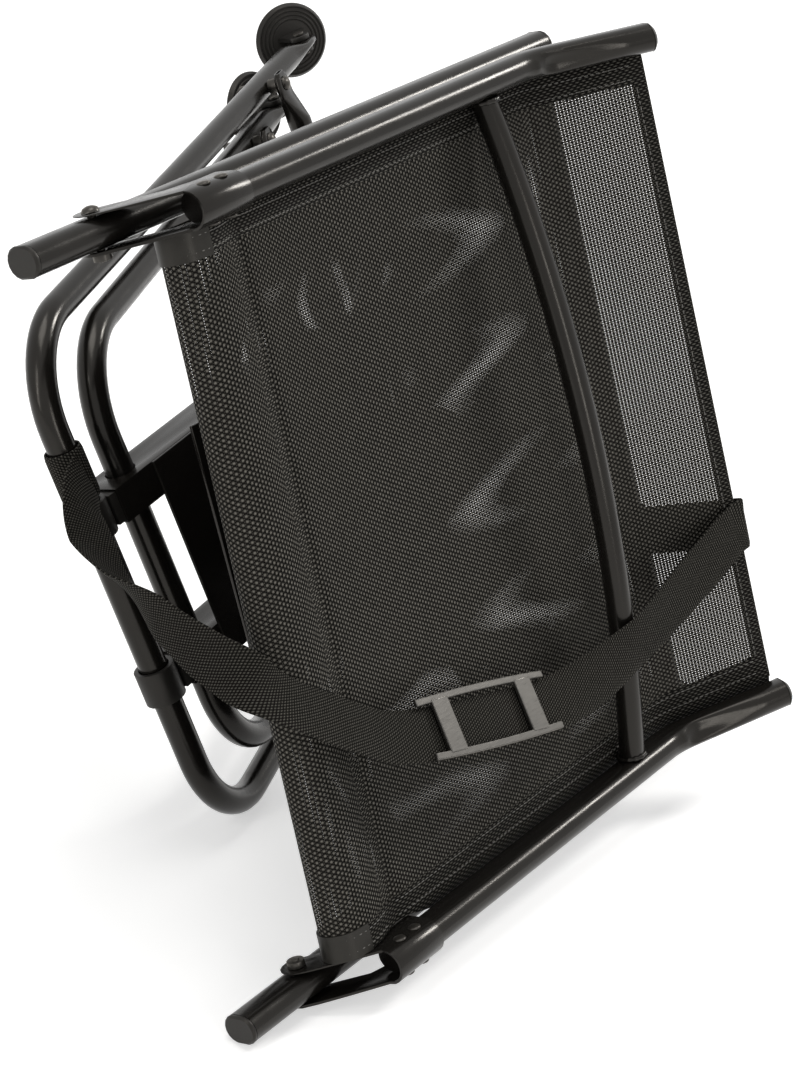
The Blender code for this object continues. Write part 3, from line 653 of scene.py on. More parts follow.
def grown(name, mesh, tree, **values):
    """The tree's result on the mesh, as a plain piece."""
    piece = placed(name, mesh)
    modifier = piece.modifiers.new("Grow", "NODES")
    modifier.node_group = tree
    for item in tree.interface.items_tree:
        key = item.name.replace(" ", "_")
        if item.item_type == "SOCKET" and item.in_out == "INPUT" and key in values:
            modifier[item.identifier] = values[key]
    graph = bpy.context.evaluated_depsgraph_get()
    result = bpy.data.meshes.new_from_object(piece.evaluated_get(graph), depsgraph=graph)
    piece.modifiers.remove(modifier)
    piece.data = result
    if not result.polygons:
        raise RuntimeError(name + ": the tree made no faces")
    return piece


def spots(places, aims):
    """A mesh of loose points, each with the direction it aims."""
    mesh = bpy.data.meshes.new("spots")
    mesh.from_pydata([tuple(p) for p in places], [], [])
    layer = mesh.attributes.new("aim", "FLOAT_VECTOR", "POINT")
    layer.data.foreach_set("vector", [c for aim in aims for c in aim])
    return mesh


def note(mesh, name, values):
    """Keeps a number for each point of the mesh, for its finish to read."""
    layer = mesh.attributes.get(name) or mesh.attributes.new(name, "FLOAT", "POINT")
    layer.data.foreach_set("value", np.asarray(values, np.float32))


# The frame's tubes

DENT_DEPTH = 0.0078
DENT_START = 0.002
DENT_LENGTH = 0.062
DENT_RAMP = 0.22
DENT_START_POWER = 1.3
DENT_END_POWER = 0.9
DENT_OFFSET = RAIL_WIDTH * 0.14
DENT_REACH = RAIL_WIDTH * 0.42
BACK_RAIL_STEP = 0.003
BACK_RAIL_BEND_STEPS = 10

WELD_SIZE = 0.0019
WELD_RIPPLE = 0.00035
WELD_RIPPLES = 12
WELD_STEPS = 48
WELD_FACETS = 8
WELD_GAP = 0.0004
WELD_SINK = 0.0002
WELD_STANDOFF = 0.0011

# A leg's end from its tip: distance past the pin, width and thickness
LEG_END = (
    (0.0112, 0.010, LEG_FLAT - 0.002), (0.0106, 0.016, LEG_FLAT), (0.006, 0.0235, LEG_FLAT),
    (-0.004, 0.0262, LEG_FLAT), (-0.014, 0.027, LEG_FLAT), (-0.021, 0.0258, 0.0095),
    (-0.029, 0.0232, 0.0155), (-0.036, 0.0216, 0.0195), (-LEG_TAPER, LEG_DIA, LEG_DIA),
)
LEG_BEND_STEPS = 16


def dent(place):
    """How far a back rail is pressed in just past its bend."""
    t = (place.x - BACK_BEND_AT - DENT_START) / DENT_LENGTH
    return min(1.0, t / DENT_RAMP) ** DENT_START_POWER * (1 - t) ** DENT_END_POWER if 0 < t < 1 else 0.0


def rail_stations(path, inward=0):
    """Oval outlines along a rail. With a side to lean to, a back rail's dent is pressed into their tops."""
    stations = []
    half = RAIL_HEIGHT / 2
    for place, heading in path:
        rise = heading.cross(Y).normalized()
        if rise.z < 0:
            rise = -rise
        outline = oval(RAIL_WIDTH, RAIL_HEIGHT, RAIL_FACETS)
        if inward:
            press = dent(place) * DENT_DEPTH
            pressed = []
            for a, b in outline:
                trough = max(0.0, 1 - ((a - inward * DENT_OFFSET) / DENT_REACH) ** 2)
                pressed.append((a, b - press * max(0.0, b / half) * trough))
            outline = pressed
        stations.append((place, Y, rise, outline))
    return stations


def bowed_tube():
    """The back's cross tube, bowed away from the seat."""
    stations = []
    for i in range(BOW_STEPS + 1):
        t = -1 + 2 * i / BOW_STEPS
        slope = -2 * t * BACK_TUBE_BOW / CROSS_TUBE_HALF if abs(t) < 1 else 0
        rise = X.cross(Vector((0, 1, slope)).normalized())
        place = Vector((BACK_TUBE_AT, t * CROSS_TUBE_HALF, BACK_RISE + BACK_TUBE_BOW * (1 - t * t)))
        stations.append((place, X, rise, oval(CROSS_TUBE_DIA, CROSS_TUBE_DIA, TUBE_FACETS)))
    return loft(stations)


def weld(name, x, z, sign, body):
    """A rippled weld bead round a cross tube's end, under the same coat."""
    middle = Vector((x, sign * (CROSS_TUBE_HALF - WELD_SINK), z))
    radius = CROSS_TUBE_DIA / 2 + WELD_GAP
    stations = []
    for angle in turns(WELD_STEPS):
        size = WELD_SIZE + WELD_RIPPLE * math.sin(angle * WELD_RIPPLES)
        bead = [(radius + size * math.cos(t), WELD_STANDOFF + size * math.sin(t)) for t in turns(WELD_FACETS)]
        stations.append((middle, Vector((math.cos(angle), 0, math.sin(angle))), -Y * sign, bead))
    carried(show(name, loft(stations, closed=True), powder_coat(), CHAIR, sharp=70), body, "black_coat")


def make_rails():
    coat = powder_coat()
    for side, sign in SIDES.items():
        y = sign * RAIL_SPACING / 2
        ends = [(Vector((x, y, 0)), X) for x in (-SEAT_TAIL, SEAT_FRONT)]
        rail = show("seat_rail_" + side + "_tube", loft(rail_stations(ends)), coat, CHAIR)
        carried(rail, "seat", "black_coat", "seat_rail_" + side)
        toe = -sign * BACK_END_TOE / BACK_END_LENGTH
        lean = Vector((math.cos(BACK_BEND), toe, math.sin(BACK_BEND))).normalized()
        corner = Vector((BACK_BEND_AT, y, BACK_RISE))
        points = [Vector((BACK_START, y, BACK_RISE)), corner, corner + lean * BACK_END_LENGTH]
        path = finely(route(points, RAIL_BEND, BACK_RAIL_BEND_STEPS), BACK_RAIL_STEP)
        rail = show("back_rail_" + side + "_tube", loft(rail_stations(path, -sign)), coat, CHAIR)
        carried(rail, "back", "black_coat", "back_rail_" + side)
    tube = show("back_cross_tube_bowed", bowed_tube(), coat, CHAIR)
    carried(tube, "back", "black_coat", "back_cross_tube")
    for side, sign in reversed(SIDES.items()):
        weld("back_tube_weld_" + side, BACK_TUBE_AT, BACK_RISE, sign, "back")
        weld("front_tube_weld_" + side, FRONT_TUBE_AT, 0, sign, "seat")
    for name in ("seat_front_tube", "seat_cross_tube_rear", "seat_cross_tube_front"):
        dressed(name, coat, "black_coat")


def make_legs():
    coat = powder_coat()
    for kind, width in LEG_WIDTH.items():
        half = width / 2
        pin = LEG_PIN_AT[kind]
        points = [(pin - LEG_TAPER, -half), (0, -half), (0, half), (pin - LEG_TAPER, half)]
        path = route([Vector((x, y, 0)) for x, y in points], LEG_BEND, LEG_BEND_STEPS)[1:-1]
        runs = [(Vector((pin + past, -half, 0)), -X, a, b) for past, a, b in LEG_END]
        runs += [(place, heading, LEG_DIA, LEG_DIA) for place, heading in path]
        runs += [(Vector((pin + past, half, 0)), X, a, b) for past, a, b in reversed(LEG_END)]
        stations = []
        for place, heading, a, b in runs:
            stations.append((place, Z, heading.cross(Z).normalized(), oval(a, b, TUBE_FACETS)))
        legs = show(kind + "_leg_tube", loft(stations), coat, leg_place(kind))
        carried(legs, kind + "_legs", "black_coat", kind + "_leg_frame")
        dressed(kind + "_stretcher", coat, "black_coat")


# Fittings

# One rib of a foot pad's top: distance out and depth from its own start
PAD_RIB = ((0.0, 0.0), (0.0006, -0.0007), (0.0016, -0.0006), (0.0022, 0.0003))
PAD_FACETS = 72
PAD_HUB = 0.0165
PAD_RIBS = 4
PAD_RIB_START = 0.0180
PAD_RIB_STEP = 0.0034
PAD_RIB_DROP = 0.0004
PAD_RIB_FALL = 0.00055
PAD_SHOULDER = (0.0008, 0.0036)
PAD_RIM_DROP = 0.0048
PAD_EDGE = 0.0012
PAD_GROOVE = (0.0232, 0.0270)
PAD_GROOVE_SLOPE = 0.0008
EAR_RADIUS = 0.0085
EAR_HALF_FOOT = 0.0125
EAR_SINK = 0.001
EAR_THICKNESS = 0.004
EAR_GAP = 0.0003
EAR_ARC = (70, 290)
EAR_STEPS = 14
RIVETS_AT = (0.051, 0.067)
RIVET_RISE = 0.004
RIVET_SINK = 0.0002


def make_fittings():
    coat = powder_coat()
    plastic = moulded_plastic()
    bolts = dark_bolt()
    for name in NODE_BODY:
        if name.startswith("hinge_bracket"):
            dressed(name, coat, "black_coat", edge=0.0004)
        elif name in ("swivel_top_plate", "base_plate", "base_arm_left", "base_arm_right"):
            dressed(name, coat, "black_coat", edge=0.0006)
        elif name == "swivel_column":
            dressed(name, coat, "black_coat")
        elif "_cap_" in name or name.startswith(("leg_collar", "swivel_ring")):
            dressed(name, plastic, "black_plastic", edge=0.0005)
        elif "_bolt" in name or name.endswith("_pin"):
            dressed(name, bolts, "satin_steel", edge=0.0003)
    for kind in LEG_WIDTH:
        for side, sign in SIDES.items():
            foot_pad(kind, side, sign)


def pad_section():
    """Radius and depth along a pad's section: its hub, its stepped ribs, its rim and its grooved sole."""
    section = [(0.0, PAD_DROP), (PAD_HUB, PAD_DROP)]
    for i in range(PAD_RIBS):
        at = PAD_RIB_START + PAD_RIB_STEP * i
        drop = PAD_DROP + PAD_RIB_DROP + PAD_RIB_FALL * i
        section += [(at + out, drop + depth) for out, depth in PAD_RIB]
    section += [(PAD_RADIUS - PAD_SHOULDER[0], PAD_DROP + PAD_SHOULDER[1])]
    section += [(PAD_RADIUS, PAD_DROP + PAD_RIM_DROP), (PAD_RADIUS, PAD_SOLE - PAD_EDGE)]
    section += [(PAD_RADIUS - PAD_EDGE, PAD_SOLE), (PAD_GROOVE[1], PAD_SOLE)]
    section += [(PAD_GROOVE[1] - PAD_GROOVE_SLOPE, PAD_SOLE - PAD_EDGE)]
    section += [(PAD_GROOVE[0] + PAD_GROOVE_SLOPE, PAD_SOLE - PAD_EDGE)]
    return section + [(PAD_GROOVE[0], PAD_SOLE), (0.0, PAD_SOLE)]


def foot_pad(kind, side, sign):
    """A round pad with ringed top and sole, and two ears round the flattened leg."""
    bm = bmesh.new()
    rings = []
    for radius, x in pad_section():
        if radius == 0:
            rings.append([bm.verts.new((x, 0, 0))] * PAD_FACETS)
        else:
            round_it = [(x, radius * math.cos(t), radius * math.sin(t)) for t in turns(PAD_FACETS)]
            rings.append([bm.verts.new(place) for place in round_it])
    for one, two in zip(rings, rings[1:]):
        wall(bm, one, two)
    foot = PAD_DROP + EAR_SINK
    outline = [(foot, -EAR_HALF_FOOT), (foot, EAR_HALF_FOOT)]
    for i in range(EAR_STEPS + 1):
        angle = math.radians(EAR_ARC[0] + (EAR_ARC[1] - EAR_ARC[0]) * i / EAR_STEPS)
        outline.append((EAR_RADIUS * math.cos(angle), EAR_RADIUS * math.sin(angle)))
    inner = LEG_FLAT / 2 + EAR_GAP
    ears = []
    for face in (-1, 1):
        levels = (face * inner, face * (inner + EAR_THICKNESS))
        ears += block(bm, *([bm.verts.new((x, y, z)) for x, z in outline] for y in levels))
    bmesh.ops.recalc_face_normals(bm, faces=bm.faces)
    ease(bm, dict.fromkeys(edge for face in ears for edge in face.edges), angle=60, offset=0.0006)
    pivot = Matrix.Translation((LEG_PIN_AT[kind], sign * LEG_WIDTH[kind] / 2, 0))
    place = leg_place(kind) @ pivot @ Matrix.Rotation(math.radians(PAD_TILT[kind]), 4, "Y")
    name = kind + "_foot_" + side
    carried(show(name + "_pad", bm, moulded_plastic(), place, sharp=30), name, "black_plastic", name)


def make_rivets():
    """Two rivet heads on each bracket's inner and outer side."""
    sizes = bpy.context.scene.chair_frame
    tree = scatter_tree("bracket_rivets", segments=16, rings=10, share=1.0)
    places, aims = [], []
    reach = RAIL_WIDTH / 2 + BRACKET_FIT + BRACKET_PLATE - RIVET_SINK
    for sign in SIDES.values():
        for face in (-1, 1):
            for x in RIVETS_AT:
                y = sign * RAIL_SPACING / 2 + face * reach
                places.append(CHAIR @ Vector((x, y, BACK_RISE + RIVET_RISE)))
                aims.append(CHAIR_TURN @ (Y * face))
    piece = grown("bracket_rivets", spots(places, aims), tree, Radius=sizes.rivet,
                  Length=sizes.rivet_height, Material=dark_bolt())
    carried(piece, "back", "satin_steel")


# The sling

# The place by the fold, and the heights there, at which the cloth starts and ends to bend over to the back
BLEND_AT = 0.02
BLEND_LOW = 0.0115
BLEND_HIGH = 0.0325

FOLD_STEPS = 14
SLING_BEND_STEPS = 8
SLING_STEP = 0.012
SLING_GAP = 0.0012
BRACKET_ROOM = 0.0052
BRACKET_EASE = 0.006
WEAVE_INSET = 0.006

# How the fold is pulled askew, rolls up and is creased, and how the seat ripples
SKEW_START = 0.035
SKEW_FADE = 0.13
SKEW_MIDDLE = 0.010
SKEW_SLOPE = 0.0417
ROLL_FROM_Z = 0.022
ROLL_OVER_Z = 0.0115
ROLL_START = 0.008
ROLL_LENGTH = 0.054
ROLL_HEIGHT = 0.0062
ROLL_POWER = 1.3
CREASE_AT = 0.066
CREASE_WIDTH = 0.0065
CREASE_DEPTH = 0.0024
RIPPLE_BELOW_Z = 0.012
RIPPLE_START = 0.06
RIPPLE_END = 0.42
RIPPLE = 0.0008
RIPPLE_PITCH = 0.075
RIPPLE_GROWTH = 0.08
RIPPLE_FADE = 0.05
RIPPLE_SLANT = 3.0

HEM_GAP = 0.0004
HEM_EDGE = 0.0004
HEM_TURN = 0.0012
HEM_LIP_BACK = 0.0062
HEM_LIP_SEAT = 0.0040
HEM_LIP_PARTS_Z = 0.02
HEM_LIP_RISE = 0.42
HEM_LIP_EASE = 0.02
BAND_GAP = 0.0005
BAND_STEPS = 24
BAND_BACK = 0.010
BAND_SEAT = -0.014
BAND_THICK = 0.55
BAND_ROUND = 0.03
TAPE_END = 0.042
TAPE_PROUD = 0.0006
TAPE_OUT = 0.0002
TAPE_EDGE = 0.0003
TAPE_INSET = 0.001

STITCH_RADIUS = 0.00042
STITCH_REPEAT = 1.45
STITCH_MARGIN = 0.012
STITCH_INSET = 0.003
STITCH_OUTER_ROW = 0.35
STITCH_ON_BACK = 0.008
STITCH_ON_SEAT = -0.011
STITCH_CORNER = 0.02
STITCH_PROUD = 0.56

# Places along the chair beside the brackets, just past them and on the open seat
BESIDE_BRACKET = 0.05
PAST_BRACKET = 0.1
OPEN_SEAT = 0.2


def ramp(value, start, span):
    """From 0 at the start to 1 past the span."""
    return min(1.0, max(0.0, (value - start) / span))


def above(heading):
    """The direction that stands on the cloth where it runs that way."""
    return heading.cross(Y).normalized()


def sling_profile():
    """Places and headings along the sling's side view, from the back's top round the fold to the front."""
    drop = BACK_RISE - SLING_BACK_Z
    corner = Vector((BACK_BEND_AT + drop * math.tan(BACK_BEND / 2), 0, SLING_BACK_Z))
    lean = Vector((math.cos(BACK_BEND), 0, math.sin(BACK_BEND)))
    points = [corner + lean * BACK_END_LENGTH, corner, Vector((SLING_FOLD_AT, 0, SLING_BACK_Z))]
    run = route(points, RAIL_BEND, SLING_BEND_STEPS)
    radius = (SLING_BACK_Z - SLING_SEAT_Z) / 2
    middle = Vector((SLING_FOLD_AT, 0, SLING_SEAT_Z + radius))
    for i in range(1, FOLD_STEPS):
        angle = math.radians(90 + 180 * i / FOLD_STEPS)
        out = Vector((math.cos(angle), 0, math.sin(angle)))
        run.append((middle + out * radius, Vector((-math.sin(angle), 0, math.cos(angle)))))
    run += [(Vector((x, 0, SLING_SEAT_Z)), X) for x in (SLING_FOLD_AT, SLING_FRONT)]
    return finely(run, SLING_STEP)


def half_width(x):
    """Half the sling's width along the chair: narrower beside the brackets and where the rails toe in."""
    wide = RAIL_SPACING - RAIL_WIDTH - SLING_GAP
    toe = max(0.0, x - BACK_BEND_AT) * 2 * BACK_END_TOE / (BACK_END_LENGTH * math.cos(BACK_BEND))
    return (wide - BRACKET_ROOM * (1 - ramp(x, BRACKET_END, BRACKET_EASE)) - toe) / 2


def skewed(x, y):
    """How far the fold is drawn in: more on the left side, fading out along the seat."""
    t = ramp(x, SKEW_START, SKEW_FADE)
    return (SKEW_MIDDLE + SKEW_SLOPE * y) * (1 - t * t * (3 - 2 * t))


def cross_spacing():
    """The distance between cross yarns that divides the sling's length evenly."""
    total = lengths(sling_profile())[-1]
    return total / round(total / bpy.context.scene.chair_sling.cross_pitch)


def slack(point):
    """Where a point of the flat-sided sling lies once the fold and the seat have settled."""
    x, y, z = point
    roll = ROLL_HEIGHT * math.sin(math.pi * ramp(x, ROLL_START, ROLL_LENGTH)) ** ROLL_POWER
    crease = CREASE_DEPTH * math.exp(-(((x - CREASE_AT) / CREASE_WIDTH) ** 2))
    z += ramp(z, ROLL_FROM_Z, ROLL_OVER_Z) * (roll - crease)
    if z < RIPPLE_BELOW_Z:
        free = ramp(x, RIPPLE_START, RIPPLE_GROWTH) * ramp(-x, -RIPPLE_END, RIPPLE_FADE)
        x += RIPPLE * free * math.sin(2 * math.pi * y / RIPPLE_PITCH + RIPPLE_SLANT * x)
    return Vector((x + skewed(x, y), y, z))


def settle_sling(mesh, run, width):
    """Notes each point's place on the cloth, lets the cloth settle and moves the mesh to the chair."""
    places = np.array([vert.co for vert in mesh.vertices], float)
    flat = places[:, [0, 2]]
    line = np.array([place for place, heading in run], float)[:, [0, 2]]
    total = np.array(lengths(run))
    along = np.zeros(len(places))
    best = np.full(len(places), np.inf)
    for i in range(len(line) - 1):
        step = line[i + 1] - line[i]
        t = np.clip(((flat - line[i]) @ step) / (step @ step), 0, 1)
        gap = np.linalg.norm(flat - line[i] - t[:, None] * step, axis=1)
        near = gap < best
        along[near] = total[i] + t[near] * (total[i + 1] - total[i])
        best[near] = gap[near]
    note(mesh, "along", along)
    note(mesh, "across", places[:, 1] + width / 2)
    for vert in mesh.vertices:
        vert.co = slack(vert.co)
    mesh.transform(CHAIR)
    mesh.update()


def bent(piece):
    """Bakes the piece's place into its mesh; it works out the two ends of the bend between seat and back but does
    not use them.
    """
    start, end = (CHAIR @ Vector((BLEND_AT, 0, z)) for z in (BLEND_LOW, BLEND_HIGH))
    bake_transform(piece)
    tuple(start)
    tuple(end)
    return piece


def side_hem(run, sign, sizes):
    """A side hem, turned up to a lip against its rail."""
    stations = []
    low, high = -sizes.hem_thickness / 2, sizes.hem_thickness / 2
    for place, heading in run:
        inner = half_width(max(place.x, PAST_BRACKET)) - sizes.hem
        turn = half_width(place.x) - HEM_GAP - HEM_TURN
        lip = HEM_LIP_BACK if place.z > HEM_LIP_PARTS_Z else HEM_LIP_SEAT
        lip *= ramp(place.x, BRACKET_END + BRACKET_EASE, HEM_LIP_EASE)
        edge = half_width(place.x) - HEM_GAP + lip
        rise = lip * HEM_LIP_RISE
        outline = [(inner, low), (turn, low), (edge, low + rise), (edge + HEM_EDGE, rise)]
        outline += [(edge, high + rise), (turn, high), (inner, high), (inner - HEM_EDGE, 0.0)]
        stations.append((place, Y * sign, above(heading), outline))
    return loft(stations)


def cross_band(place, heading, reach, sizes):
    """A folded band across the back's top or the seat's front."""
    thick = sizes.hem_thickness * BAND_THICK
    outline = [(0.0, -thick), (reach, -thick), (reach * (1 + BAND_ROUND), 0.0)]
    outline += [(reach, thick), (0.0, thick), (-reach * BAND_ROUND, 0.0)]
    half = half_width(place.x) - BAND_GAP
    stations = []
    for i in range(BAND_STEPS + 1):
        y = -half + 2 * half * i / BAND_STEPS
        stations.append((Vector((place.x, y, place.z)), heading, above(heading), outline))
    return loft(stations)


def hem_bands(run, sizes):
    """The side hems and the bands across, as closed strips."""
    skins = [side_hem(run, sign, sizes) for sign in (-1, 1)]
    skins += [cross_band(*run[0], BAND_BACK, sizes), cross_band(*run[-1], BAND_SEAT, sizes)]
    return joined(skins)


def tape_strips(run, sizes):
    """Closed strips of tape that bind the fold's two ends, a little proud of the hem."""
    half = sizes.hem_thickness / 2 + TAPE_PROUD
    outer = half_width(BESIDE_BRACKET) + TAPE_OUT
    inner = outer - sizes.hem + TAPE_INSET
    outline = [(inner, -half), (outer, -half), (outer + TAPE_EDGE, 0.0)]
    outline += [(outer, half), (inner, half), (inner - TAPE_EDGE, 0.0)]
    taped = [(place, heading) for place, heading in run if place.x < TAPE_END]
    skins = []
    for sign in (-1, 1):
        skins.append(loft([(place, Y * sign, above(heading), outline) for place, heading in taped]))
    return joined(skins)


def hem_stitches(run, sizes):
    """Stitch places and aims on the hems' faces, apart for back and seat."""
    total = lengths(run)
    found = {"back": ([], []), "seat": ([], [])}
    step = sizes.stitch * STITCH_REPEAT

    def sew(body, place, aim):
        found[body][0].append(CHAIR @ place)
        found[body][1].append(CHAIR_TURN @ aim)

    at = STITCH_MARGIN
    k = 0
    while at < total[-1] - STITCH_MARGIN:
        while total[k + 1] < at:
            k += 1
        t = (at - total[k]) / (total[k + 1] - total[k])
        at += step
        place = run[k][0].lerp(run[k + 1][0], t)
        if BLEND_LOW <= place.z <= BLEND_HIGH:
            continue
        heading = run[k][1].lerp(run[k + 1][1], t).normalized()
        body = "back" if place.z > BLEND_HIGH else "seat"
        for sign in (-1, 1):
            for inset in (sizes.hem - STITCH_INSET, sizes.hem * STITCH_OUTER_ROW):
                y = sign * (half_width(max(place.x, PAST_BRACKET)) - inset)
                for face in (-1, 1):
                    lift = above(heading) * face * (sizes.hem_thickness / 2)
                    sew(body, slack(place + lift + Vector((0, y, 0))), heading)
    for end, reach, body in ((0, STITCH_ON_BACK, "back"), (-1, STITCH_ON_SEAT, "seat")):
        place, heading = run[end]
        half = half_width(place.x) - STITCH_CORNER
        for i in range(int(2 * half / step)):
            for face in (-1, 1):
                spot = place + heading * reach + above(heading) * face * (sizes.hem_thickness * STITCH_PROUD)
                spot.y = -half + step * (i + 0.5)
                sew(body, spot, Y)
    return found


def make_sling():
    sizes = bpy.context.scene.chair_sling
    run = sling_profile()
    profile = bpy.data.meshes.new("sling_profile")
    links = [(i, i + 1) for i in range(len(run) - 1)]
    profile.from_pydata([tuple(place) for place, heading in run], links, [])
    width = 2 * half_width(BESIDE_BRACKET) - WEAVE_INSET
    spacing = cross_spacing()
    weave = grown("mesh_sling", profile, weave_tree(), Width=width, Pitch=sizes.pitch,
                  Long_Yarns=int(width / sizes.pitch), Long_Share=sizes.long_yarn,
                  Cross_Yarns=round(lengths(run)[-1] / spacing) + 1,
                  Cross_Width=spacing * sizes.cross_yarn, Lift=-sizes.lift, Material=coated_yarn())
    settle_sling(weave.data, run, width)
    bent(weave)
    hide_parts("back_sling", "seat_sling")
    for name, bm, finish in (("sling_hems", hem_bands(run, sizes), hem_cloth()),
                             ("fold_tapes", tape_strips(run, sizes), binding_tape())):
        piece = show(name, bm, finish, IN_PLACE, sharp=50)
        settle_sling(piece.data, run, width)
        bent(piece)
    tree = scatter_tree("hem_stitches", segments=6, rings=5, share=0.5)
    for body, (places, aims) in hem_stitches(run, sizes).items():
        piece = grown("hem_stitches_" + body, spots(places, aims), tree, Radius=STITCH_RADIUS,
                      Length=sizes.stitch, Material=sewing_thread())
        carried(piece, body, "mesh_cloth")
    flat = (2 * half_width(OPEN_SEAT), lengths(run)[-1])


# The carry strap

# Its route along the chair, low at the leg and high over the back, and which way its width lies there
LOW = [(0.0514, 0.0813, -0.1300), (0.0309, 0.0703, -0.1170), (0.0125, 0.0477, -0.096)]
LOW += [(-0.0015, 0.0275, -0.065)]
LOW_SIDES = [(0.15, -0.989, 0), (0.30, -0.90, 0.25), (0.45, -0.65, 0.45), (0.30, -0.80, 0.45)]
HIGH = [(-0.0085, 0.0064, -0.0300), (-0.0115, -0.0140, 0.003), (-0.0080, -0.0330, 0.033)]
HIGH += [(0.0080, -0.0540, 0.0475), (0.0452, -0.0858, 0.053), (0.0925, -0.1191, 0.0555)]
HIGH += [(0.1750, -0.1440, 0.0625), (0.2540, -0.1610, 0.0685), (0.3385, -0.1560, 0.0735)]
HIGH += [(0.4150, -0.1370, 0.0785), (0.4660, -0.1210, 0.0845), (0.4812, -0.1190, 0.0855)]
HIGH += [(0.4745, -0.1180, 0.0690), (0.4590, -0.1180, 0.0150)]
HIGH_SIDES = [(-0.05, -0.92, 0.35), (-0.12, -0.90, 0.40), (-0.16, -0.87, 0.45), (-0.2, -0.855, 0.47)]
HIGH_SIDES += [(-0.2, -0.855, 0.40)] * 3
HIGH_SIDES += [(-0.2, -0.88, 0.35), (-0.12, -0.98, -0.13), (-0.2, -0.97, 0.02), (-0.15, -0.985, 0)]
HIGH_SIDES += [(0, -1, 0)] * 3

WEBBING_COLUMNS = 10
WEBBING_EDGE_FROM = 0.95
WEBBING_EDGE = 0.55

# The slide lies between two points of the route
SLIDE_ENDS = (Vector(HIGH[5]), Vector(HIGH[7]))
SLIDE_SIDE = Vector((-0.2, -0.855, 0.43))
SLIDE_HALF_LENGTH = 0.0630
SLIDE_HALF_WIDTH = 0.0235
SLIDE_LIFT = 0.00225
SLIDE_BOW = 0.0016
SLIDE_RAIL = 0.0050
SLIDE_RAIL_INSET = 0.0018
SLIDE_RAIL_STEPS = 16
SLIDE_BAR_AT = 0.0410
SLIDE_BAR_HALF = 0.0080
SLIDE_BAR_INSET = 0.0040
SLIDE_BAR_RISE = 0.0004


def webbing_mesh(frames, sizes, closed):
    """Ribbed webbing over frames of place, width, face and distance, and each point's place on the cloth."""
    stations, notes = [], []
    half = sizes.thickness / 2
    for index, (place, side, rise, at) in enumerate(frames):
        swell = (sizes.rib if index % 2 else 0.0) - sizes.rib / 2
        outline = []
        for face in (1, -1):
            for i in range(WEBBING_COLUMNS + 1):
                t = face * (-1 + 2 * i / WEBBING_COLUMNS)
                thick = half + swell if abs(t) < WEBBING_EDGE_FROM else half * WEBBING_EDGE
                outline.append((t * sizes.width / 2, face * thick))
                notes.append((t * sizes.width / 2, at))
        stations.append((place, side, rise, outline))
    return loft(stations, closed), notes


def strap_piece(name, frames, body, node, place, closed=False):
    bm, notes = webbing_mesh(frames, bpy.context.scene.chair_strap, closed)
    piece = show(name, bm, ribbed_webbing(), place, sharp=75)
    note(piece.data, "across", [across for across, along in notes])
    note(piece.data, "along", [along for across, along in notes])
    carried(piece, body, "webbing", node)


def strap_frames(points, sides, spacing):
    """Frames along the route, each with its point number last."""
    run = smooth_run(points, spacing)
    sides = [Vector(s).normalized() for s in sides]
    frames = []
    for i, (place, share, at) in enumerate(run):
        heading = (run[min(i + 1, len(run) - 1)][0] - run[max(i - 1, 0)][0]).normalized()
        k = min(int(share), len(sides) - 2)
        rise = heading.cross(sides[k].lerp(sides[k + 1], share - k)).normalized()
        frames.append((place, rise.cross(heading).normalized(), rise, at, share))
    return frames


def loop_frames(tube_dia, middle, sizes):
    """Frames round a tube along Y, for a closed loop of webbing."""
    radius = tube_dia / 2 + STRAP_LOOP_FIT + sizes.thickness / 2
    frames = []
    for angle in turns(2 * round(2 * math.pi * radius / sizes.rib_pitch)):
        out = X * math.cos(angle) - Z * math.sin(angle)
        frames.append((middle + out * radius, Y, out, radius * angle))
    return frames


def make_strap():
    sizes = bpy.context.scene.chair_strap
    frames = strap_frames(LOW + HIGH, LOW_SIDES + HIGH_SIDES, sizes.rib_pitch / 2)
    part = sum(share < len(LOW) for *_, share in frames) // 2 * 2
    low, high = ([station[:-1] for station in run] for run in (frames[:part + 1], frames[part:]))
    strap_piece("carry_webbing_low", low, "seat", "strap_lower", CHAIR)
    strap_piece("carry_webbing", high, "back", "carry_strap", CHAIR)
    frames = loop_frames(LEG_DIA, Vector((0, STRAP_LOOP_AT, 0)), sizes)
    strap_piece("webbing_leg_loop", frames, "outer_legs", "strap_leg_loop", leg_place("outer"), closed=True)
    frames = loop_frames(CROSS_TUBE_DIA, Vector((FRONT_TUBE_AT, STRAP_SEAT_AT, 0)), sizes)
    strap_piece("webbing_seat_loop", frames, "seat", "strap_seat_loop", CHAIR, closed=True)


def slide_outlines():
    """The outlines of the slide's two bowed rails and two wide bars, each with its height."""
    for sign in (-1, 1):
        inner, outer = [], []
        for i in range(SLIDE_RAIL_STEPS + 1):
            a = -SLIDE_HALF_LENGTH + 2 * SLIDE_HALF_LENGTH * i / SLIDE_RAIL_STEPS
            bow = SLIDE_BOW * (1 - (a / SLIDE_HALF_LENGTH) ** 2)
            edge = SLIDE_HALF_WIDTH - SLIDE_RAIL_INSET + bow
            inner.append((a, sign * (edge - SLIDE_RAIL)))
            outer.append((a, sign * edge))
        yield inner + outer[::-1], 0.0
    wide = SLIDE_HALF_WIDTH - SLIDE_BAR_INSET
    for at in (-SLIDE_BAR_AT, SLIDE_BAR_AT):
        near, far = at - SLIDE_BAR_HALF, at + SLIDE_BAR_HALF
        yield [(near, -wide), (far, -wide), (far, wide), (near, wide)], SLIDE_BAR_RISE


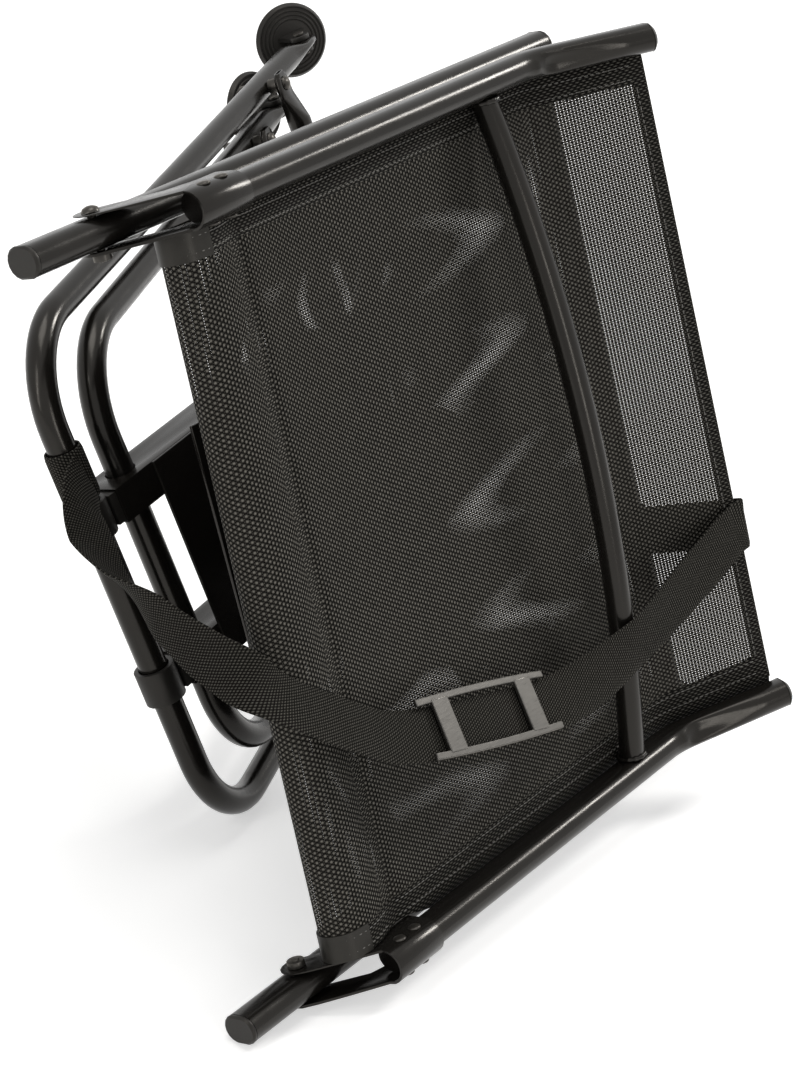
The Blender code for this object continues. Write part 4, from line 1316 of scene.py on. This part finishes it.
def make_slide():
    """A ladder slide: two thin bowed rails with tips, and two wide bars across the webbing."""
    sizes = bpy.context.scene.chair_strap
    one, two = SLIDE_ENDS
    run = (two - one).normalized()
    side = (SLIDE_SIDE - run * SLIDE_SIDE.dot(run)).normalized()
    rise = run.cross(side)
    if rise.z < 0:
        rise = -rise
    centre = (one + two) / 2 + rise * (sizes.thickness / 2 + SLIDE_LIFT)
    bm = bmesh.new()
    for outline, height in slide_outlines():
        levels = []
        for face in (-1, 1):
            level = centre + rise * (height + face * sizes.slide_thickness / 2)
            levels.append([bm.verts.new(level + run * a + side * b) for a, b in outline])
        block(bm, *levels)
    bmesh.ops.recalc_face_normals(bm, faces=bm.faces)
    ease(bm, bm.edges, angle=60, offset=0.0008, profile=0.5)
    carried(show("ladder_slide", bm, satin_slide(), CHAIR, sharp=20), "back", "satin_steel", "strap_slide")


# The studio

FLOOR_HALF = 9
LAMP_COLOUR = (1.0, 0.985, 0.96)
LAMPS_AIM = Vector((0, 0, 0.25))

# Each lamp's place, the direction and length of its one side, and its other side
LAMPS = {
    "key": ("key_box", Vector((2.5, -1.05, 2.3)), Vector((0, 0.5, 0)), 0.9),
    "top": ("top_box", Vector((-0.2, 0.5, 4.0)), Vector((2.0, 0, 0)), 2.0),
    "front": ("front_box", Vector((-1.0, -2.7, 0.9)), Vector((0, 0, 1.3)), 0.5),
    "side": ("side_strip", Vector((-2.4, 0.2, 1.3)), Vector((0, 0, 1.8)), 0.25),
}

# The photograph's camera in the chair's axes, as fitted to the rails
CAMERA_AT = Vector((-1.0978, 0.5220, 1.2049))
CAMERA_RIGHT = Vector((0.6103, -0.2302, 0.7580))
CAMERA_UP = Vector((0.3716, 0.9282, -0.0173))
CAMERA_BACK = Vector((-0.6996, 0.2922, 0.6520))
CAMERA_LENS = 89.72
CAMERA_SENSOR = 36
CAMERA_NEAR = 0.05


def seen_rays(tree):
    """1 for the rays that show the background: the camera's own, and those off metal and through glass."""
    rays = tree.nodes.new("ShaderNodeLightPath").outputs
    seen = maths(tree, "MAXIMUM", rays["Is Camera Ray"], rays["Is Glossy Ray"])
    return maths(tree, "MAXIMUM", seen, rays["Is Transmission Ray"])


def make_floor(looks):
    bm = bmesh.new()
    bmesh.ops.create_grid(bm, x_segments=1, y_segments=1, size=FLOOR_HALF)
    mesh = bpy.data.meshes.new("studio_floor")
    bm.to_mesh(mesh)
    bm.free()
    paper = bpy.data.materials.new("studio_paper")
    paper.use_nodes = True
    tree = paper.node_tree
    surface = tree.nodes["Principled BSDF"].inputs
    surface["Base Color"].default_value = (*looks.floor, 1)
    surface["Roughness"].default_value = 1.0
    surface["Specular IOR Level"].default_value = 0.0
    surface["Emission Color"].default_value = (1, 1, 1, 1)
    glow = maths(tree, "MULTIPLY", seen_rays(tree), looks.paper_glow)
    tree.links.new(glow, surface["Emission Strength"])
    mesh.materials.append(paper)
    placed("studio_floor", mesh)


def make_world(looks):
    world = bpy.data.worlds.new("studio_world")
    bpy.context.scene.world = world
    world.use_nodes = True
    tree = world.node_tree
    sky = tree.nodes["Background"].inputs
    sky["Color"].default_value = (1, 1, 1, 1)
    tree.links.new(maths(tree, "MAXIMUM", seen_rays(tree), looks.sky), sky["Strength"])


def make_lamps(looks):
    for power, (name, place, length, width) in LAMPS.items():
        light = bpy.data.lights.new(name, "AREA")
        light.shape = "RECTANGLE"
        light.size = length.length
        light.size_y = width
        light.energy = getattr(looks, power)
        light.color = LAMP_COLOUR
        back = (place - LAMPS_AIM).normalized()
        x = (length - back * length.dot(back)).normalized()
        grid = Matrix((x, back.cross(x), back)).transposed().to_4x4()
        grid.translation = place
        placed(name, light).matrix_world = grid


def make_camera():
    lens = bpy.data.cameras.new("photo_camera")
    lens.sensor_fit = "VERTICAL"
    lens.sensor_height = CAMERA_SENSOR
    lens.lens = CAMERA_LENS
    lens.clip_start = CAMERA_NEAR
    turn = Matrix((CAMERA_RIGHT, CAMERA_UP, CAMERA_BACK)).transposed()
    grid = (CHAIR_TURN @ turn).to_4x4()
    grid.translation = CHAIR @ CAMERA_AT
    camera = placed("photo_camera", lens)
    camera.matrix_world = grid
    bpy.context.scene.camera = camera


def make_stage():
    looks = bpy.context.scene.chair_stage
    make_floor(looks)
    make_world(looks)
    make_lamps(looks)
    make_camera()
    bpy.context.scene.view_settings.view_transform = "Standard"


# The add-on

class ChairFrameSizes(bpy.types.PropertyGroup):
    """Small sizes on the coated frame."""

    rivet: FloatProperty(
        name="Rivet radius", description="Radius of a bracket rivet's head",
        default=0.0046, unit="LENGTH")
    rivet_height: FloatProperty(
        name="Rivet height", description="How far a rivet's head stands out",
        default=0.0016, unit="LENGTH")


class ChairSlingSizes(bpy.types.PropertyGroup):
    """Sizes of the woven sling and its hems."""

    pitch: FloatProperty(
        name="Long yarn pitch", description="Distance from one lengthwise yarn to the next",
        default=0.00175, precision=5, unit="LENGTH")
    cross_pitch: FloatProperty(
        name="Cross yarn pitch", description="Distance from one crosswise yarn to the next",
        default=0.0026, precision=5, unit="LENGTH")
    long_yarn: FloatProperty(
        name="Long yarn share", description="Share of the pitch that a lengthwise yarn fills",
        default=0.69, subtype="FACTOR")
    cross_yarn: FloatProperty(
        name="Cross yarn share", description="Share of the pitch that a crosswise yarn fills",
        default=0.75, subtype="FACTOR")
    lift: FloatProperty(
        name="Yarn lift", description="How far the crosswise yarns lie outside the lengthwise ones",
        default=0.0003, unit="LENGTH")
    hem: FloatProperty(
        name="Hem width", description="Width of the side hems", default=0.020, unit="LENGTH")
    hem_thickness: FloatProperty(
        name="Hem thickness", description="Thickness of the doubled cloth", default=0.0020, unit="LENGTH")
    stitch: FloatProperty(
        name="Stitch length", description="Length of a hem stitch", default=0.0032, unit="LENGTH")


class ChairStrapSizes(bpy.types.PropertyGroup):
    """Sizes of the webbing and its slide."""

    width: FloatProperty(
        name="Webbing width", description="Width of the carry strap", default=0.038, unit="LENGTH")
    thickness: FloatProperty(
        name="Webbing thickness", description="Thickness between the ribs' middles",
        default=0.0022, unit="LENGTH")
    rib: FloatProperty(
        name="Rib height", description="How far a rib stands above its groove",
        default=0.0003, unit="LENGTH")
    rib_pitch: FloatProperty(
        name="Rib pitch", description="Distance from one rib to the next",
        default=0.0021, unit="LENGTH")
    cord_pitch: FloatProperty(
        name="Cord pitch", description="Distance from one lengthwise cord to the next",
        default=0.0022, unit="LENGTH")
    slide_thickness: FloatProperty(
        name="Slide thickness", description="Thickness of the slide's metal",
        default=0.0030, unit="LENGTH")


class ChairFinishes(bpy.types.PropertyGroup):
    """Colours and gloss."""

    coat: FloatVectorProperty(
        name="Coat", description="Powder coat of the tubes",
        default=(0.0070, 0.0063, 0.0055), size=3, subtype="COLOR")
    coat_roughness: FloatProperty(
        name="Coat roughness", description="Roughness of the powder coat",
        default=0.20, subtype="FACTOR")
    plastic: FloatVectorProperty(
        name="Plastic", description="Moulded caps, collars and pads",
        default=(0.010, 0.0094, 0.0086), size=3, subtype="COLOR")
    bolt: FloatVectorProperty(
        name="Bolts", description="Blackened bolts, pins and rivets",
        default=(0.045, 0.042, 0.038), size=3, subtype="COLOR")
    slide: FloatVectorProperty(
        name="Slide", description="Satin metal of the slide",
        default=(0.118, 0.113, 0.105), size=3, subtype="COLOR")
    cloth: FloatVectorProperty(
        name="Yarn", description="Coated yarn of the sling",
        default=(0.0177, 0.0167, 0.0146), size=3, subtype="COLOR")
    hem: FloatVectorProperty(
        name="Hem", description="Doubled cloth of the hems",
        default=(0.016, 0.0152, 0.0134), size=3, subtype="COLOR")
    webbing: FloatVectorProperty(
        name="Webbing", description="Carry strap, and the tapes over the fold's ends",
        default=(0.012, 0.0114, 0.0099), size=3, subtype="COLOR")
    thread: FloatVectorProperty(
        name="Thread", description="Sewing thread",
        default=(0.18, 0.175, 0.165), size=3, subtype="COLOR")


class ChairStage(bpy.types.PropertyGroup):
    """Floor and light of the studio."""

    floor: FloatVectorProperty(
        name="Floor", description="Paper under the chair",
        default=(0.9, 0.9, 0.9), size=3, subtype="COLOR")
    paper_glow: FloatProperty(
        name="Paper glow", description="What the paper adds where it is seen", default=0.50)
    sky: FloatProperty(
        name="Sky", description="Light from all round", default=0.35)
    key: FloatProperty(
        name="Key light", description="Soft box beyond the chair's front", default=54.0, unit="POWER")
    top: FloatProperty(
        name="Top light", description="Soft box above the chair", default=52.0, unit="POWER")
    front: FloatProperty(
        name="Front light", description="Low upright box at the near side", default=11.0, unit="POWER")
    side: FloatProperty(
        name="Side strip", description="Upright strip light at the tail end", default=12.0, unit="POWER")


class ChairStageOperator(bpy.types.Operator):
    """Sets the floor, the lights and the photograph's camera"""

    bl_idname = "swivel_chair.stage"
    bl_label = "Stage"

    def execute(self, context):
        make_stage()
        return {"FINISHED"}


class ChairRailsOperator(bpy.types.Operator):
    """Makes the oval rails, the bowed tube and the tubes across"""

    bl_idname = "swivel_chair.rails"
    bl_label = "Rails and tubes"

    def execute(self, context):
        make_rails()
        return {"FINISHED"}


class ChairLegsOperator(bpy.types.Operator):
    """Makes the two U-shaped leg frames and their stretchers"""

    bl_idname = "swivel_chair.legs"
    bl_label = "Leg frames"

    def execute(self, context):
        make_legs()
        return {"FINISHED"}


class ChairFittingsOperator(bpy.types.Operator):
    """Dresses brackets, plates, caps, collars, bolts and feet"""

    bl_idname = "swivel_chair.fittings"
    bl_label = "Fittings"

    def execute(self, context):
        make_fittings()
        return {"FINISHED"}


class ChairRivetsOperator(bpy.types.Operator):
    """Sets the rivets in the hinge brackets"""

    bl_idname = "swivel_chair.rivets"
    bl_label = "Rivets"

    def execute(self, context):
        make_rivets()
        return {"FINISHED"}


class ChairSlingOperator(bpy.types.Operator):
    """Weaves the sling, folds its hems and sews them"""

    bl_idname = "swivel_chair.sling"
    bl_label = "Sling"

    def execute(self, context):
        make_sling()
        return {"FINISHED"}


class ChairStrapOperator(bpy.types.Operator):
    """Lays the webbing and its loops"""

    bl_idname = "swivel_chair.strap"
    bl_label = "Carry strap"

    def execute(self, context):
        make_strap()
        return {"FINISHED"}


class ChairSlideOperator(bpy.types.Operator):
    """Puts the slide on the webbing"""

    bl_idname = "swivel_chair.slide"
    bl_label = "Slide"

    def execute(self, context):
        make_slide()
        return {"FINISHED"}


class ChairPanel(bpy.types.Panel):
    """Lists the chair's pieces and their sizes"""

    bl_idname = "VIEW3D_PT_swivel_chair"
    bl_label = "Swivel chair"
    bl_space_type = "VIEW_3D"
    bl_region_type = "UI"
    bl_category = "Chair"

    def draw(self, context):
        for operator in OPERATORS:
            self.layout.operator(operator.bl_idname)
        for name, kind in GROUPS.items():
            box = self.layout.box()
            for key in kind.__annotations__:
                box.prop(getattr(context.scene, name), key)


GROUPS = {
    "chair_frame": ChairFrameSizes,
    "chair_sling": ChairSlingSizes,
    "chair_strap": ChairStrapSizes,
    "chair_finishes": ChairFinishes,
    "chair_stage": ChairStage,
}
OPERATORS = (
    ChairStageOperator,
    ChairRailsOperator,
    ChairLegsOperator,
    ChairFittingsOperator,
    ChairRivetsOperator,
    ChairSlingOperator,
    ChairStrapOperator,
    ChairSlideOperator,
)


def register():
    for kind in (*GROUPS.values(), *OPERATORS, ChairPanel):
        bpy.utils.register_class(kind)
    for name, kind in GROUPS.items():
        setattr(bpy.types.Scene, name, PointerProperty(type=kind))


def unregister():
    for name in GROUPS:
        delattr(bpy.types.Scene, name)
    for kind in reversed((*GROUPS.values(), *OPERATORS, ChairPanel)):
        bpy.utils.unregister_class(kind)


def main():
    register()
    bpy.ops.swivel_chair.stage()
    bpy.ops.swivel_chair.rails()
    bpy.ops.swivel_chair.legs()
    bpy.ops.swivel_chair.fittings()
    bpy.ops.swivel_chair.rivets()
    bpy.ops.swivel_chair.sling()
    bpy.ops.swivel_chair.strap()
    bpy.ops.swivel_chair.slide()


if __name__ == "__main__":
    main()
